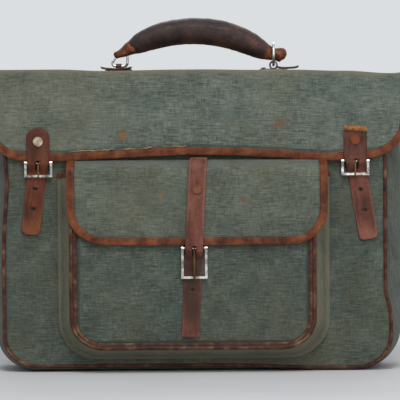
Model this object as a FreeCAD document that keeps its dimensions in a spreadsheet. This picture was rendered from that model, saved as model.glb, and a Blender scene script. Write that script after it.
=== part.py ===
import FreeCAD, Part
import Sketcher
import math
import os

# A leather-bound canvas mail satchel: a soft box with a full flap over its top, a front pocket with
# a flap of its own, three buckled straps and a padded handle on two rings.
# Frame: +Z up, the front faces -Y, the origin is on the floor under the middle of the bag.
# Lengths are in millimetres. "Out" is the distance of a plane from the XZ plane, towards the front.

SIZES = [
    # the soft box
    ("panel_half_width", 192.0, "half the width of the front and back walls"),
    ("panel_lift", 5.0, "lower edge of the front and back walls above the floor"),
    ("panel_corner", 31.0, "radius of their lower corners"),
    ("bag_half_depth", 50.0, "outer face of the front wall from the middle"),
    ("wall_top", 299.4, "top of the walls"),
    ("gusset_drop", 1.0, "gusset's top edge below the back wall's"),
    ("canvas_wall", 2.5, "thickness of the body's doubled canvas"),
    ("bead_radius", 2.0, "radius of the leather bead in the seams"),
    ("side_bulge", 10.0, "how far the sides swell past the seam"),
    ("bulge_corner", 38.0, "corner radius of the swollen middle of the gusset"),
    ("base_flat_half", 30.0, "half the depth of the flat part of the base"),
    ("hem_leather", 1.2, "thickness of the leather folded over an open edge"),
    ("hem_depth", 8.0, "how far that leather reaches down"),
    ("hem_end_gap", 2.0, "hem's end to the gusset"),
    ("base_board_half_length", 158.0, "stiffener on the base"),
    ("base_board_half_depth", 28.0, "stiffener on the base"),
    ("board_thick", 3.0, "thickness of both stiffeners"),
    # the main flap
    ("flap_half_width", 212.0, "half the width over the binding"),
    ("flap_edge", 213.0, "height of the flap's lower edge"),
    ("flap_corner", 39.0, "radius of the flap's lower corners"),
    ("flap_canvas", 2.0, "thickness of a flap's canvas"),
    ("binding_leather", 1.2, "thickness of each ply of the binding"),
    ("binding_width", 8.5, "width of the binding on each face"),
    ("flap_gap", 2.0, "air behind a flap's binding"),
    ("lid_gap", 0.6, "air between the walls' tops and the flap"),
    ("back_overhang", 2.0, "how far the flap passes the back wall"),
    ("fold_gap", 0.2, "gap at a fold between two panels"),
    ("fold_drop", 1.0, "top of a hanging flap below its fold line"),
    ("top_board_half_length", 150.0, "stiffener under the flap's top"),
    ("top_board_half_depth", 40.0, "stiffener under the flap's top"),
    # the pocket
    ("pocket_depth", 28.0, "face of the pocket in front of the wall"),
    ("pocket_half_width", 119.0, "half the width of the pocket's face inside its bead"),
    ("pocket_lift", 25.0, "lower edge of the pocket's face above the floor"),
    ("pocket_corner", 30.0, "radius of the face's lower corners"),
    ("pocket_top", 198.0, "height of the pocket's mouth"),
    ("pocket_canvas", 2.0, "thickness of the pocket's canvas"),
    ("pocket_splay_side", 15.0, "how much wider each side is at the wall"),
    ("pocket_splay_base", 12.0, "how much lower the base is at the wall"),
    ("pocket_base_corner", 40.0, "corner radius at the wall"),
    ("root_height", 211.0, "height at which the pocket's flap leaves the wall"),
    ("root_fall", 6.2, "fall of the flap's root to the pocket's front edge"),
    ("pocket_flap_half_width", 130.0, "half the width over the binding"),
    ("pocket_flap_edge", 128.0, "height of the pocket flap's lower edge"),
    ("pocket_flap_corner", 37.0, "radius of its lower corners"),
    # straps
    ("strap_leather", 2.0, "thickness of the strap leather"),
    ("strap_spread", 158.5, "side straps from the middle"),
    ("side_strap_width", 19.0, "tail of a side strap"),
    ("side_head_width", 23.0, "riveted head of a side strap"),
    ("side_head_height", 32.0, "head above the flap's edge"),
    ("side_tail_length", 76.0, "tail below the flap's edge"),
    ("side_tail_slant", 6.5, "degrees by which the side tails lean outwards"),
    ("center_strap_width", 17.5, "center strap"),
    ("center_tail_length", 92.0, "tail below the pocket flap's edge"),
    ("strap_tip_radius", 7.5, "rounding of a strap's end"),
    ("strap_clear", 0.1, "air between a binding and a tail that passes it"),
    ("tail_start", 1.3, "a tail's own top below the flap's edge"),
    ("tail_back_gap", 0.4, "air between the wall and a tail behind its buckle"),
    ("bend_start", 5.0, "start of a tail's bend below the flap's edge"),
    ("bend_end", 13.5, "end of that bend"),
    ("bend_lag", 0.6, "the outer face bends this much lower"),
    ("hole_radius", 1.9, "punched holes"),
    ("hole_first", 29.0, "first free hole below the flap's edge"),
    ("hole_pitch", 20.0, "hole to hole"),
    ("slot_half_width", 2.1, "buckled hole, pulled long by the prong"),
    ("slot_top", 3.4, "top of that hole below the flap's edge"),
    ("slot_bottom", 10.5, "bottom of that hole below the flap's edge"),
    ("center_strap_shift", 3.0, "middle strap and its buckle to the left of the middle"),
    ("center_strap_slant", 2.8, "lean of the middle strap to the left, in degrees"),
    # rivets
    ("rivet_head", 4.8, "radius of a strap rivet's head"),
    ("rivet_head_height", 1.5, "height of the head"),
    ("rivet_shank", 1.5, "radius of the shank"),
    ("rivet_washer", 4.0, "radius of the washer behind"),
    ("side_rivet_height", 18.6, "side rivets above the flap's edge"),
    ("center_rivet_height", 56.5, "center rivet above the pocket flap's edge"),
    # buckles
    ("side_buckle_width", 28.0, "over the side arms"),
    ("side_buckle_drop", 13.0, "heel bar to toe bar"),
    ("center_buckle_width", 26.0, "over the side arms"),
    ("center_buckle_drop", 29.0, "heel bar to toe bar"),
    ("buckle_wire", 2.4, "thickness of the frame"),
    ("buckle_below_flap", 3.0, "heel bar below the flap's edge"),
    ("pin_out", 4.0, "heel bar's axis in front of the wall"),
    ("pin_radius", 1.1, "heel bar"),
    ("running_gap", 0.08, "radial air of a hole that turns on a pin"),
    ("eye_radius", 2.2, "outer radius of the arms' eyes and the chape's fold"),
    ("chape_side_gap", 0.5, "chape to the frame's arms"),
    ("chape_leather", 1.6, "thickness of the chape's tail"),
    ("chape_tail", 18.0, "chape's tail above the heel bar"),
    ("chape_shoulder", 2.6, "top of the chape's fold above the heel bar"),
    ("chape_rivet_height", 13.6, "chape's rivet above the heel bar"),
    ("chape_rivet_head", 2.0, "radius of its heads"),
    ("chape_rivet_rise", 1.0, "height of its heads"),
    ("prong_width", 1.6, "prong"),
    ("prong_loop", 2.0, "outer radius of the prong's loop"),
    ("prong_slot", 3.4, "slot in the chape's fold for the prong"),
    ("prong_start", 4.8, "inner face of the prong at the loop, in front of the wall"),
    ("prong_finish", 5.6, "inner face of the prong at the toe bar"),
    ("prong_past", 1.4, "prong past the toe bar's middle"),
    # handle
    ("ring_spread", 78.5, "rings from the middle"),
    ("ring_wire", 1.3, "radius of the rings' wire"),
    ("ring_axis_lift", 4.5, "line on which the rings turn, above the flap"),
    ("ring_height", 13.5, "left ring's top bar above that line"),
    ("ring_foot_half", 8.5, "half the left ring's lower bar"),
    ("ring_top_half", 5.0, "half the left ring's upper bar"),
    ("ring_lean", 4.5, "upper bar's middle towards the grip"),
    ("ring_bend", 3.0, "radius of the left ring's corners"),
    ("round_ring_radius", 11.0, "right ring, to the middle of the wire"),
    ("eye_wire", 0.9, "radius of the right eye's wire"),
    ("eye_ring_radius", 3.6, "right eye, to the middle of the wire"),
    ("tab_half_length", 14.0, "plates under the clip and the eye"),
    ("tab_half_width", 6.0, "plates under the clip and the eye"),
    ("tab_thick", 1.0, "plates under the clip and the eye"),
    ("clip_width", 6.0, "rolled clip"),
    ("clip_radius", 2.6, "rolled clip, outside"),
    ("clip_neck", 1.5, "half the thickness of the clip's neck"),
    ("tab_rivet_offset", 10.0, "tab rivets from the ring's middle"),
    ("tab_rivet_head", 2.2, "radius of their heads"),
    ("tab_rivet_shank", 1.2, "radius of their shanks"),
    ("tab_rivet_rise", 1.2, "height of their heads"),
    ("grip_half_length", 66.0, "padded roll, along the bag"),
    ("grip_middle_height", 39.0, "middle of the roll above the flap"),
    ("grip_arch", 19.0, "fall of the roll's line to its ends"),
    ("grip_middle_radius", 13.0, "roll at its middle"),
    ("grip_taper", 5.5, "loss of radius towards its ends"),
    ("grip_end_reach", 17.0, "left end piece, past the roll"),
    ("end_half_width", 5.0, "half the width of the handle's end pieces"),
    ("end_drop", 6.5, "end pieces below the roll's end line"),
    ("end_rise", 3.5, "right end piece above that line"),
    ("left_end_rise", 7.0, "left end piece above that line"),
    ("knob_start", 18.0, "knob from the roll's end"),
    ("knob_length", 7.0, "knob"),
    ("knob_half_width", 7.0, "knob"),
    ("knob_extra", 2.5, "knob over and under the right end piece"),
]

GRIP_STATIONS = [-1.0, -0.7, -0.35, 0.0, 0.35, 0.7, 1.0]
NUDGE = 5.0  # how far a cutting shape passes the face that it opens

doc = FreeCAD.newDocument("mail_satchel")
sheet = doc.addObject("Spreadsheet::Sheet", "Size")
for row, (alias, number, note) in enumerate(SIZES, start=1):
    sheet.set("A%d" % row, alias)
    sheet.set("B%d" % row, str(number))
    sheet.set("C%d" % row, note)
    sheet.setAlias("B%d" % row, alias)
doc.recompute()

# Places that several pieces share, in the sheet's terms.
WALL = "Size.bag_half_depth"
POCKET_FACE = "(Size.bag_half_depth + Size.pocket_depth)"
BINDING_BACK = "Size.flap_gap"
CANVAS_BACK = "(Size.flap_gap + Size.binding_leather)"
CANVAS_FRONT = "(Size.flap_gap + Size.binding_leather + Size.flap_canvas)"
BINDING_FRONT = "(Size.flap_gap + Size.binding_leather * 2 + Size.flap_canvas)"
STRAP_FRONT = "(%s + Size.strap_leather)" % BINDING_FRONT
LID = "(Size.wall_top + Size.lid_gap)"
LID_TOP = "(%s + Size.flap_canvas)" % LID
RING_AXIS = "(%s + Size.ring_axis_lift)" % LID_TOP
GRIP_END = "(%s + Size.grip_middle_height - Size.grip_arch)" % LID_TOP
ROOT_FRONT = "(%s + %s - Size.fold_gap)" % (POCKET_FACE, BINDING_BACK)
LID_FRONT = "(%s + %s - Size.fold_gap)" % (WALL, BINDING_BACK)
FRONT_TOP = "(Size.wall_top - Size.hem_leather)"
GUSSET_TOP = "(Size.wall_top - Size.gusset_drop)"
ROOT_EDGE = "(Size.root_height - Size.root_fall)"

SIDES = {"left": -1, "right": 1, "center": 0}
nodes = []


def value(expression):
    """The number that an expression on the sheet gives now."""
    return float(sheet.evalExpression(expression))


def bind(thing, path, expression):
    thing.setExpression(path, expression)


def new_body(label):
    body = doc.addObject("PartDesign::Body", label)
    body.Label = label
    body.AllowCompound = True
    nodes.append(body)
    return body


def sketch_on(body, role, offset="0"):
    """A sketch on one of the body's own planes, moved along that plane's normal."""
    sketch = body.newObject("Sketcher::SketchObject", body.Label + "_sketch")
    plane = [item for item in body.Origin.OriginFeatures if item.Role == role][0]
    sketch.AttachmentSupport = (plane, [""])
    sketch.MapMode = "FlatFace"
    bind(sketch, "AttachmentOffset.Base.z", offset)
    return sketch


def hold(sketch, kind, expression, *where):
    """A driving constraint whose size follows the sheet."""
    index = sketch.addConstraint(Sketcher.Constraint(kind, *where, value(expression)))
    bind(sketch, "Constraints[%d]" % index, expression)


def hold_point(sketch, geometry, end, x, y):
    hold(sketch, "DistanceX", x, -1, 1, geometry, end)
    hold(sketch, "DistanceY", y, -1, 1, geometry, end)


def polygon(sketch, corners):
    """A closed outline of straight edges; each corner is a pair of expressions."""
    points = [FreeCAD.Vector(value(x), value(y), 0) for x, y in corners]
    first = sketch.GeometryCount
    count = len(points)
    for i in range(count):
        sketch.addGeometry(Part.LineSegment(points[i], points[(i + 1) % count]), False)
    for i in range(count):
        join = Sketcher.Constraint("Coincident", first + i, 2, first + (i + 1) % count, 1)
        sketch.addConstraint(join)
        hold_point(sketch, first + i, 1, *corners[i])


def rectangle(sketch, left, right, low, high):
    polygon(sketch, [(left, low), (right, low), (right, high), (left, high)])


def circle(sketch, x, y, radius):
    center = FreeCAD.Vector(value(x), value(y), 0)
    index = sketch.addGeometry(Part.Circle(center, FreeCAD.Vector(0, 0, 1), value(radius)), False)
    hold_point(sketch, index, 3, x, y)
    hold(sketch, "Radius", radius, index)


def pouch(sketch, half, low, high, radius, closed=True):
    """The outline of a wall with two round lower corners, open at the top for a seam's path."""
    h, b, t, r = value(half), value(low), value(high), value(radius)
    up = FreeCAD.Vector(0, 0, 1)
    arcs = []
    for x, start in ((-h + r, math.pi), (h - r, math.pi * 3 / 2)):
        ring = Part.Circle(FreeCAD.Vector(x, b + r, 0), up, r)
        arcs.append(Part.ArcOfCircle(ring, start, start + math.pi / 2))
    sketch.addGeometry(Part.LineSegment(FreeCAD.Vector(-h, t, 0), FreeCAD.Vector(-h, b + r, 0)), False)
    sketch.addGeometry(arcs[0], False)
    sketch.addGeometry(Part.LineSegment(FreeCAD.Vector(-h + r, b, 0), FreeCAD.Vector(h - r, b, 0)), False)
    sketch.addGeometry(arcs[1], False)
    sketch.addGeometry(Part.LineSegment(FreeCAD.Vector(h, b + r, 0), FreeCAD.Vector(h, t, 0)), False)
    for i in range(4):
        sketch.addConstraint(Sketcher.Constraint("Tangent", i, 2, i + 1, 1))
    sketch.addConstraint(Sketcher.Constraint("Vertical", 0))
    sketch.addConstraint(Sketcher.Constraint("Vertical", 4))
    sketch.addConstraint(Sketcher.Constraint("Equal", 1, 3))
    hold_point(sketch, 0, 1, "-(%s)" % half, high)
    hold_point(sketch, 4, 2, half, high)
    hold(sketch, "DistanceY", low, -1, 1, 2, 1)
    hold(sketch, "Radius", radius, 1)
    if closed:
        sketch.addGeometry(Part.LineSegment(FreeCAD.Vector(h, t, 0), FreeCAD.Vector(-h, t, 0)), False)
        sketch.addConstraint(Sketcher.Constraint("Coincident", 4, 2, 5, 1))
        sketch.addConstraint(Sketcher.Constraint("Coincident", 5, 2, 0, 1))


def extrude(body, kind, sketch, length, both=False):
    """A Pad goes along the sketch's normal; a Pocket goes back from it."""
    feature = body.newObject("PartDesign::" + kind, body.Label + "_" + kind.lower())
    feature.Profile = sketch
    if both:
        feature.SideType = "Symmetric"
    bind(feature, "Length", length)
    body.Tip = feature
    return feature


def cut_forward(body, sketch, length):
    """A pocket that cuts along the sketch's normal."""
    feature = extrude(body, "Pocket", sketch, length)
    feature.Reversed = True
    return feature


def loft(body, kind, sketches):
    feature = body.newObject("PartDesign::" + kind, body.Label + "_loft")
    feature.Profile = sketches[0]
    feature.Sections = sketches[1:]
    feature.Ruled = True
    body.Tip = feature
    return feature


def round_edges(body, direction, places, radius):
    """Fillet the straight edges that run along a direction through the given places."""
    doc.recompute()
    base = body.Tip
    names = []
    for number, edge in enumerate(base.Shape.Edges, start=1):
        if len(edge.Vertexes) != 2 or edge.Curve.TypeId != "Part::GeomLine":
            continue
        middle = edge.CenterOfMass
        along = (edge.Vertexes[1].Point - edge.Vertexes[0].Point).normalize()
        if abs(along.dot(direction)) < 0.999:
            continue
        for place in places:
            away = middle - place
            if (away - direction * away.dot(direction)).Length < 0.01:
                names.append("Edge%d" % number)
    fillet = body.newObject("PartDesign::Fillet", body.Label + "_fillet")
    fillet.Base = (base, names)
    bind(fillet, "Radius", radius)
    body.Tip = fillet


# ---------------------------------------------------------------- the soft box

def wall_panel(label, out, top):
    """Front or back wall, its rear face at the given plane."""
    body = new_body(label)
    sketch = sketch_on(body, "XZ_Plane", out)
    pouch(sketch, "Size.panel_half_width", "Size.panel_lift", top, "Size.panel_corner")
    extrude(body, "Pad", sketch, "Size.canvas_wall")


def gusset():
    """Sides and base in one strip: it swells between the seams and is flat where it stands."""
    body = new_body("gusset")
    seam = ("Size.panel_half_width + Size.bead_radius", "Size.panel_lift - Size.bead_radius",
            "Size.panel_corner + Size.bead_radius")
    swell = ("Size.panel_half_width + Size.bead_radius + Size.side_bulge", "0", "Size.bulge_corner")
    end = "Size.bag_half_depth - Size.canvas_wall"
    stations = [("-(%s)" % end, seam), ("-Size.base_flat_half", swell),
                ("Size.base_flat_half", swell), (end, seam)]
    outer = []
    inner = []
    for out, (half, low, radius) in stations:
        sketch = sketch_on(body, "XZ_Plane", out)
        pouch(sketch, half, low, GUSSET_TOP, radius)
        outer.append(sketch)
    for out, (half, low, radius) in stations:
        sketch = sketch_on(body, "XZ_Plane", out)
        pouch(sketch, half + " - Size.canvas_wall", low + " + Size.canvas_wall",
              "Size.wall_top + %s" % NUDGE, radius + " - Size.canvas_wall")
        inner.append(sketch)
    loft(body, "AdditiveLoft", outer)
    loft(body, "SubtractiveLoft", inner)


def bead(label, out, half, low, high, radius):
    """A leather bead that follows the round-cornered edge of a wall."""
    body = new_body(label)
    path = sketch_on(body, "XZ_Plane", out)
    pouch(path, half, low, high, radius, closed=False)
    section = sketch_on(body, "XY_Plane", high)
    circle(section, "-(%s)" % half, "-(%s)" % out, "Size.bead_radius")
    feature = body.newObject("PartDesign::AdditivePipe", label + "_pipe")
    feature.Profile = section
    feature.Spine = path
    body.Tip = feature


def seam_beads():
    edge = ("Size.panel_half_width + Size.bead_radius", "Size.panel_lift - Size.bead_radius")
    radius = "Size.panel_corner + Size.bead_radius"
    out = "Size.bag_half_depth - Size.canvas_wall + Size.bead_radius"
    bead("front_piping", out, *edge, FRONT_TOP, radius)
    bead("back_piping", "-(%s)" % out, *edge, "Size.wall_top", radius)
    bead("pocket_piping", POCKET_FACE + " - Size.pocket_canvas + Size.bead_radius",
         "Size.pocket_half_width + Size.bead_radius", "Size.pocket_lift - Size.bead_radius",
         "Size.pocket_top", "Size.pocket_corner + Size.bead_radius")


def hem(label, out, thick, top, half):
    """Leather folded over the top edge of a canvas wall, seen from the end as a channel."""
    body = new_body(label)
    sketch = sketch_on(body, "YZ_Plane")
    front = "-(%s)" % out
    back = "-(%s) + %s" % (out, thick)
    foot = "%s - Size.hem_depth" % top
    crown = "%s + Size.hem_leather" % top
    polygon(sketch, [(front + " - Size.hem_leather", foot), (front + " - Size.hem_leather", crown),
                     (back + " + Size.hem_leather", crown), (back + " + Size.hem_leather", foot),
                     (back, foot), (back, top), (front, top), (front, foot)])
    extrude(body, "Pad", sketch, "(%s) * 2" % half, both=True)


def board(label, half_length, half_depth, low):
    body = new_body(label)
    sketch = sketch_on(body, "XY_Plane", low)
    rectangle(sketch, "-" + half_length, half_length, "-" + half_depth, half_depth)
    extrude(body, "Pad", sketch, "Size.board_thick")
    return body


# ---------------------------------------------------------------- the main flap

def rivet_places():
    """Tab rivets, two at each ring."""
    return ["%d * Size.ring_spread + %d * Size.tab_rivet_offset" % (side, end)
            for side in (-1, 1) for end in (-1, 1)]


def drill_for_tabs(body, places, high, length):
    sketch = sketch_on(body, "XY_Plane", high)
    for place in places:
        circle(sketch, place, "0", "Size.tab_rivet_shank")
    extrude(body, "Pocket", sketch, length)


def flap_top():
    body = new_body("flap_top")
    sketch = sketch_on(body, "XY_Plane", LID)
    side = "Size.flap_half_width - Size.binding_leather"
    rectangle(sketch, "-(%s)" % side, side,
              "-(%s)" % LID_FRONT, WALL + " + Size.back_overhang")
    extrude(body, "Pad", sketch, "Size.flap_canvas")
    drill_for_tabs(body, rivet_places(), LID_TOP, "Size.flap_canvas")


def flap_top_binding():
    """Folded leather along both side edges of the flap's top."""
    body = new_body("flap_top_binding")
    sketch = sketch_on(body, "XZ_Plane", "-(%s + Size.back_overhang)" % WALL)
    for sign in ("-", ""):
        outer = sign + "Size.flap_half_width"
        slot = sign + "(Size.flap_half_width - Size.binding_leather)"
        inner = sign + "(Size.flap_half_width - Size.binding_width)"
        low = LID + " - Size.binding_leather"
        high = LID_TOP + " + Size.binding_leather"
        polygon(sketch, [(inner, low), (outer, low), (outer, high), (inner, high),
                         (inner, LID_TOP), (slot, LID_TOP), (slot, LID), (inner, LID)])
    extrude(body, "Pad", sketch, "%s + Size.back_overhang + %s" % (WALL, LID_FRONT))


def top_board():
    body = board("top_board", "Size.top_board_half_length", "Size.top_board_half_depth",
                 LID + " - Size.board_thick")
    drill_for_tabs(body, rivet_places(), LID, "Size.board_thick")


def hanging_flap(label, face, top, half, low, corner, rivets):
    """The canvas of a flap that hangs in front of a face, with its strap rivets' holes."""
    body = new_body(label)
    sketch = sketch_on(body, "XZ_Plane", "%s + %s" % (face, CANVAS_BACK))
    pouch(sketch, half + " - Size.binding_leather", low + " + Size.binding_leather", top,
          corner + " - Size.binding_leather")
    extrude(body, "Pad", sketch, "Size.flap_canvas")
    holes = sketch_on(body, "XZ_Plane", "%s + %s" % (face, CANVAS_FRONT))
    for x, z in rivets:
        circle(holes, x, z, "Size.rivet_shank")
    extrude(body, "Pocket", holes, "Size.flap_canvas")


def hanging_binding(label, face, top, half, low, corner):
    """Leather folded round a hanging flap's edge, open at the fold line."""
    body = new_body(label)
    outer = sketch_on(body, "XZ_Plane", "%s + %s" % (face, BINDING_BACK))
    pouch(outer, half, low, top, corner)
    thick = "Size.binding_leather * 2 + Size.flap_canvas"
    extrude(body, "Pad", outer, thick)
    inner = sketch_on(body, "XZ_Plane", "%s + %s" % (face, BINDING_BACK))
    pouch(inner, half + " - Size.binding_width", low + " + Size.binding_width",
          "%s + %s" % (top, NUDGE), corner + " - Size.binding_width")
    cut_forward(body, inner, thick)
    slot = sketch_on(body, "XZ_Plane", "%s + %s" % (face, CANVAS_BACK))
    pouch(slot, half + " - Size.binding_leather", low + " + Size.binding_leather",
          "%s + %s" % (top, NUDGE), corner + " - Size.binding_leather")
    cut_forward(body, slot, "Size.flap_canvas")


def main_flap():
    flap_top()
    flap_top_binding()
    top_board()
    top = LID_TOP + " - Size.fold_drop"
    height = "Size.flap_edge + Size.side_rivet_height"
    rivets = [("%d * Size.strap_spread" % sign, height) for sign in (-1, 1)]
    shape = (WALL, top, "Size.flap_half_width", "Size.flap_edge", "Size.flap_corner")
    hanging_flap("flap_front", *shape, rivets)
    hanging_binding("flap_front_binding", *shape)


# ---------------------------------------------------------------- the pocket

def pocket_front():
    body = new_body("pocket_front")
    sketch = sketch_on(body, "XZ_Plane", POCKET_FACE + " - Size.pocket_canvas")
    pouch(sketch, "Size.pocket_half_width", "Size.pocket_lift", "Size.pocket_top",
          "Size.pocket_corner")
    extrude(body, "Pad", sketch, "Size.pocket_canvas")


def pocket_gusset():
    """A strip that is wider where it is sewn to the wall than at the pocket's face."""
    body = new_body("pocket_gusset")
    face = ("Size.pocket_half_width + Size.bead_radius", "Size.pocket_lift - Size.bead_radius",
            "Size.pocket_corner + Size.bead_radius")
    foot = (face[0] + " + Size.pocket_splay_side", face[1] + " - Size.pocket_splay_base",
            "Size.pocket_base_corner")
    stations = [(WALL, foot), (POCKET_FACE + " - Size.pocket_canvas", face)]
    outer = []
    inner = []
    for out, (half, low, radius) in stations:
        sketch = sketch_on(body, "XZ_Plane", out)
        pouch(sketch, half, low, "Size.pocket_top", radius)
        outer.append(sketch)
    for out, (half, low, radius) in stations:
        sketch = sketch_on(body, "XZ_Plane", out)
        pouch(sketch, half + " - Size.pocket_canvas", low + " + Size.pocket_canvas",
              "Size.pocket_top + %s" % NUDGE, radius + " - Size.pocket_canvas")
        inner.append(sketch)
    loft(body, "AdditiveLoft", outer)
    loft(body, "SubtractiveLoft", inner)


def pocket_flap_root():
    """Canvas that runs from the wall, over the pocket's mouth, to its front edge."""
    body = new_body("pocket_flap_root")
    sketch = sketch_on(body, "YZ_Plane")
    wall = "-(%s)" % WALL
    front = "-(%s)" % ROOT_FRONT
    polygon(sketch, [(wall, "Size.root_height"), (front, ROOT_EDGE),
                     (front, ROOT_EDGE + " - Size.flap_canvas"),
                     (wall, "Size.root_height - Size.flap_canvas")])
    extrude(body, "Pad", sketch, "(Size.pocket_flap_half_width - Size.binding_leather) * 2", both=True)


def pocket():
    pocket_front()
    pocket_gusset()
    hem("pocket_hem", POCKET_FACE, "Size.pocket_canvas", "Size.pocket_top",
        "Size.pocket_half_width - Size.hem_end_gap")
    pocket_flap_root()
    top = ROOT_EDGE + " - Size.fold_drop"
    rivets = [rivet_place(station("center"))]
    shape = (POCKET_FACE, top, "Size.pocket_flap_half_width", "Size.pocket_flap_edge",
             "Size.pocket_flap_corner")
    hanging_flap("pocket_flap", *shape, rivets)
    hanging_binding("pocket_flap_binding", *shape)


# ---------------------------------------------------------------- straps, rivets and buckles

def station(name):
    """Where a strap hangs: its middle, the face behind it, the flap's edge and its own sizes."""
    if name == "center":
        return {"x": "-Size.center_strap_shift", "face": POCKET_FACE, "edge": "Size.pocket_flap_edge",
                "width": "Size.center_strap_width", "tail": "Size.center_tail_length",
                "head_width": "Size.center_strap_width",
                "head_top": ROOT_EDGE + " - Size.fold_drop", "rivet": "Size.center_rivet_height",
                "buckle_width": "Size.center_buckle_width", "drop": "Size.center_buckle_drop",
                "slant": "Size.center_strap_slant", "lean": "tan(Size.center_strap_slant)",
                "behind": "Size.pocket_canvas"}
    sign = SIDES[name]
    return {"x": "%d * Size.strap_spread" % sign, "face": WALL, "edge": "Size.flap_edge",
            "width": "Size.side_strap_width", "tail": "Size.side_tail_length",
            "head_width": "Size.side_head_width", "head_top": "Size.flap_edge + Size.side_head_height",
            "rivet": "Size.side_rivet_height", "buckle_width": "Size.side_buckle_width",
            "drop": "Size.side_buckle_drop", "slant": "%d * Size.side_tail_slant" % -sign,
            "lean": "0", "behind": "Size.canvas_wall"}


def rivet_place(spot):
    """A strap's rivet as X and Z: it sits on the head's middle line, which may lean."""
    return "%s + %s * %s" % (spot["x"], spot["lean"], spot["rivet"]), \
        "%s + %s" % (spot["edge"], spot["rivet"])


def strap_head(name, spot):
    body = new_body("strap_head_" + name)
    half = spot["head_width"] + " / 2"
    left = "%s - %s" % (spot["x"], half)
    right = "%s + %s" % (spot["x"], half)
    aside = "%s * (%s - %s)" % (spot["lean"], spot["head_top"], spot["edge"])
    out = "%s + %s" % (spot["face"], BINDING_FRONT)
    sketch = sketch_on(body, "XZ_Plane", out)
    polygon(sketch, [(left, spot["edge"]), (right, spot["edge"]),
                     ("%s + %s" % (right, aside), spot["head_top"]),
                     ("%s + %s" % (left, aside), spot["head_top"])])
    extrude(body, "Pad", sketch, "Size.strap_leather")
    hole = sketch_on(body, "XZ_Plane", "%s + %s" % (spot["face"], STRAP_FRONT))
    circle(hole, *rivet_place(spot), "Size.rivet_shank")
    extrude(body, "Pocket", hole, "Size.strap_leather")
    if name != "center":
        corners = [FreeCAD.Vector(value(x), 0, value(spot["head_top"])) for x in (left, right)]
        round_edges(body, FreeCAD.Vector(0, 1, 0), corners, "Size.strap_tip_radius")


def strap_rivet(name, spot):
    """Head in front of the strap, shank through strap and canvas, washer behind the canvas."""
    body = new_body("strap_rivet_" + name)
    x, z = rivet_place(spot)
    steps = [(BINDING_BACK, "Size.rivet_washer", "Size.binding_leather"),
             (CANVAS_BACK, "Size.rivet_shank", "Size.flap_canvas + Size.binding_leather + Size.strap_leather"),
             (STRAP_FRONT, "Size.rivet_head", "Size.rivet_head_height")]
    for out, radius, height in steps:
        sketch = sketch_on(body, "XZ_Plane", "%s + %s" % (spot["face"], out))
        circle(sketch, x, z, radius)
        extrude(body, "Pad", sketch, height)


def strap_tail(name, spot):
    """From the flap's edge, over the heel bar, through the frame and behind the toe bar."""
    body = new_body("strap_tail_" + name)
    face = spot["face"]
    high_back = "-(%s + %s + Size.strap_clear)" % (face, BINDING_FRONT)
    high_front = "%s - Size.strap_leather" % high_back
    low_back = "-(%s + Size.tail_back_gap)" % face
    low_front = "%s - Size.strap_leather" % low_back
    end = "-" + spot["tail"]
    sketch = sketch_on(body, "YZ_Plane")
    polygon(sketch, [(high_front, "-Size.tail_start"), (high_back, "-Size.tail_start"),
                     (high_back, "-Size.bend_start"),
                     (low_back, "-Size.bend_end"), (low_back, end), (low_front, end),
                     (low_front, "-(Size.bend_end + Size.bend_lag)"),
                     (high_front, "-(Size.bend_start + Size.bend_lag)")])
    extrude(body, "Pad", sketch, spot["width"], both=True)
    depth = "%s + Size.strap_leather" % BINDING_FRONT
    holes = sketch_on(body, "XZ_Plane", "%s + %s" % (face, STRAP_FRONT + " + Size.strap_clear"))
    rectangle(holes, "-Size.slot_half_width", "Size.slot_half_width", "-Size.slot_bottom",
              "-Size.slot_top")
    for step in range(2):
        circle(holes, "0", "-(Size.hole_first + %d * Size.hole_pitch)" % step, "Size.hole_radius")
    extrude(body, "Pocket", holes, depth)
    half = value(spot["width"]) / 2
    low = value(end)
    corners = [FreeCAD.Vector(x, 0, low) for x in (-half, half)]
    round_edges(body, FreeCAD.Vector(0, 1, 0), corners, "Size.strap_tip_radius")
    body.Placement = FreeCAD.Placement(FreeCAD.Vector(0, 0, 0),
                                       FreeCAD.Rotation(FreeCAD.Vector(0, 1, 0), 1))
    bind(body, "Placement.Base.x", spot["x"])
    bind(body, "Placement.Base.z", spot["edge"])
    bind(body, "Placement.Rotation.Angle", spot["slant"])


def pin_height(spot):
    return "(%s - Size.buckle_below_flap)" % spot["edge"]


def pin_line(spot):
    """The heel bar's axis as Y and Z of the YZ plane."""
    return "-(%s + Size.pin_out)" % spot["face"], pin_height(spot)


def place_on(body, spot):
    bind(body, "Placement.Base.x", spot["x"])


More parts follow.
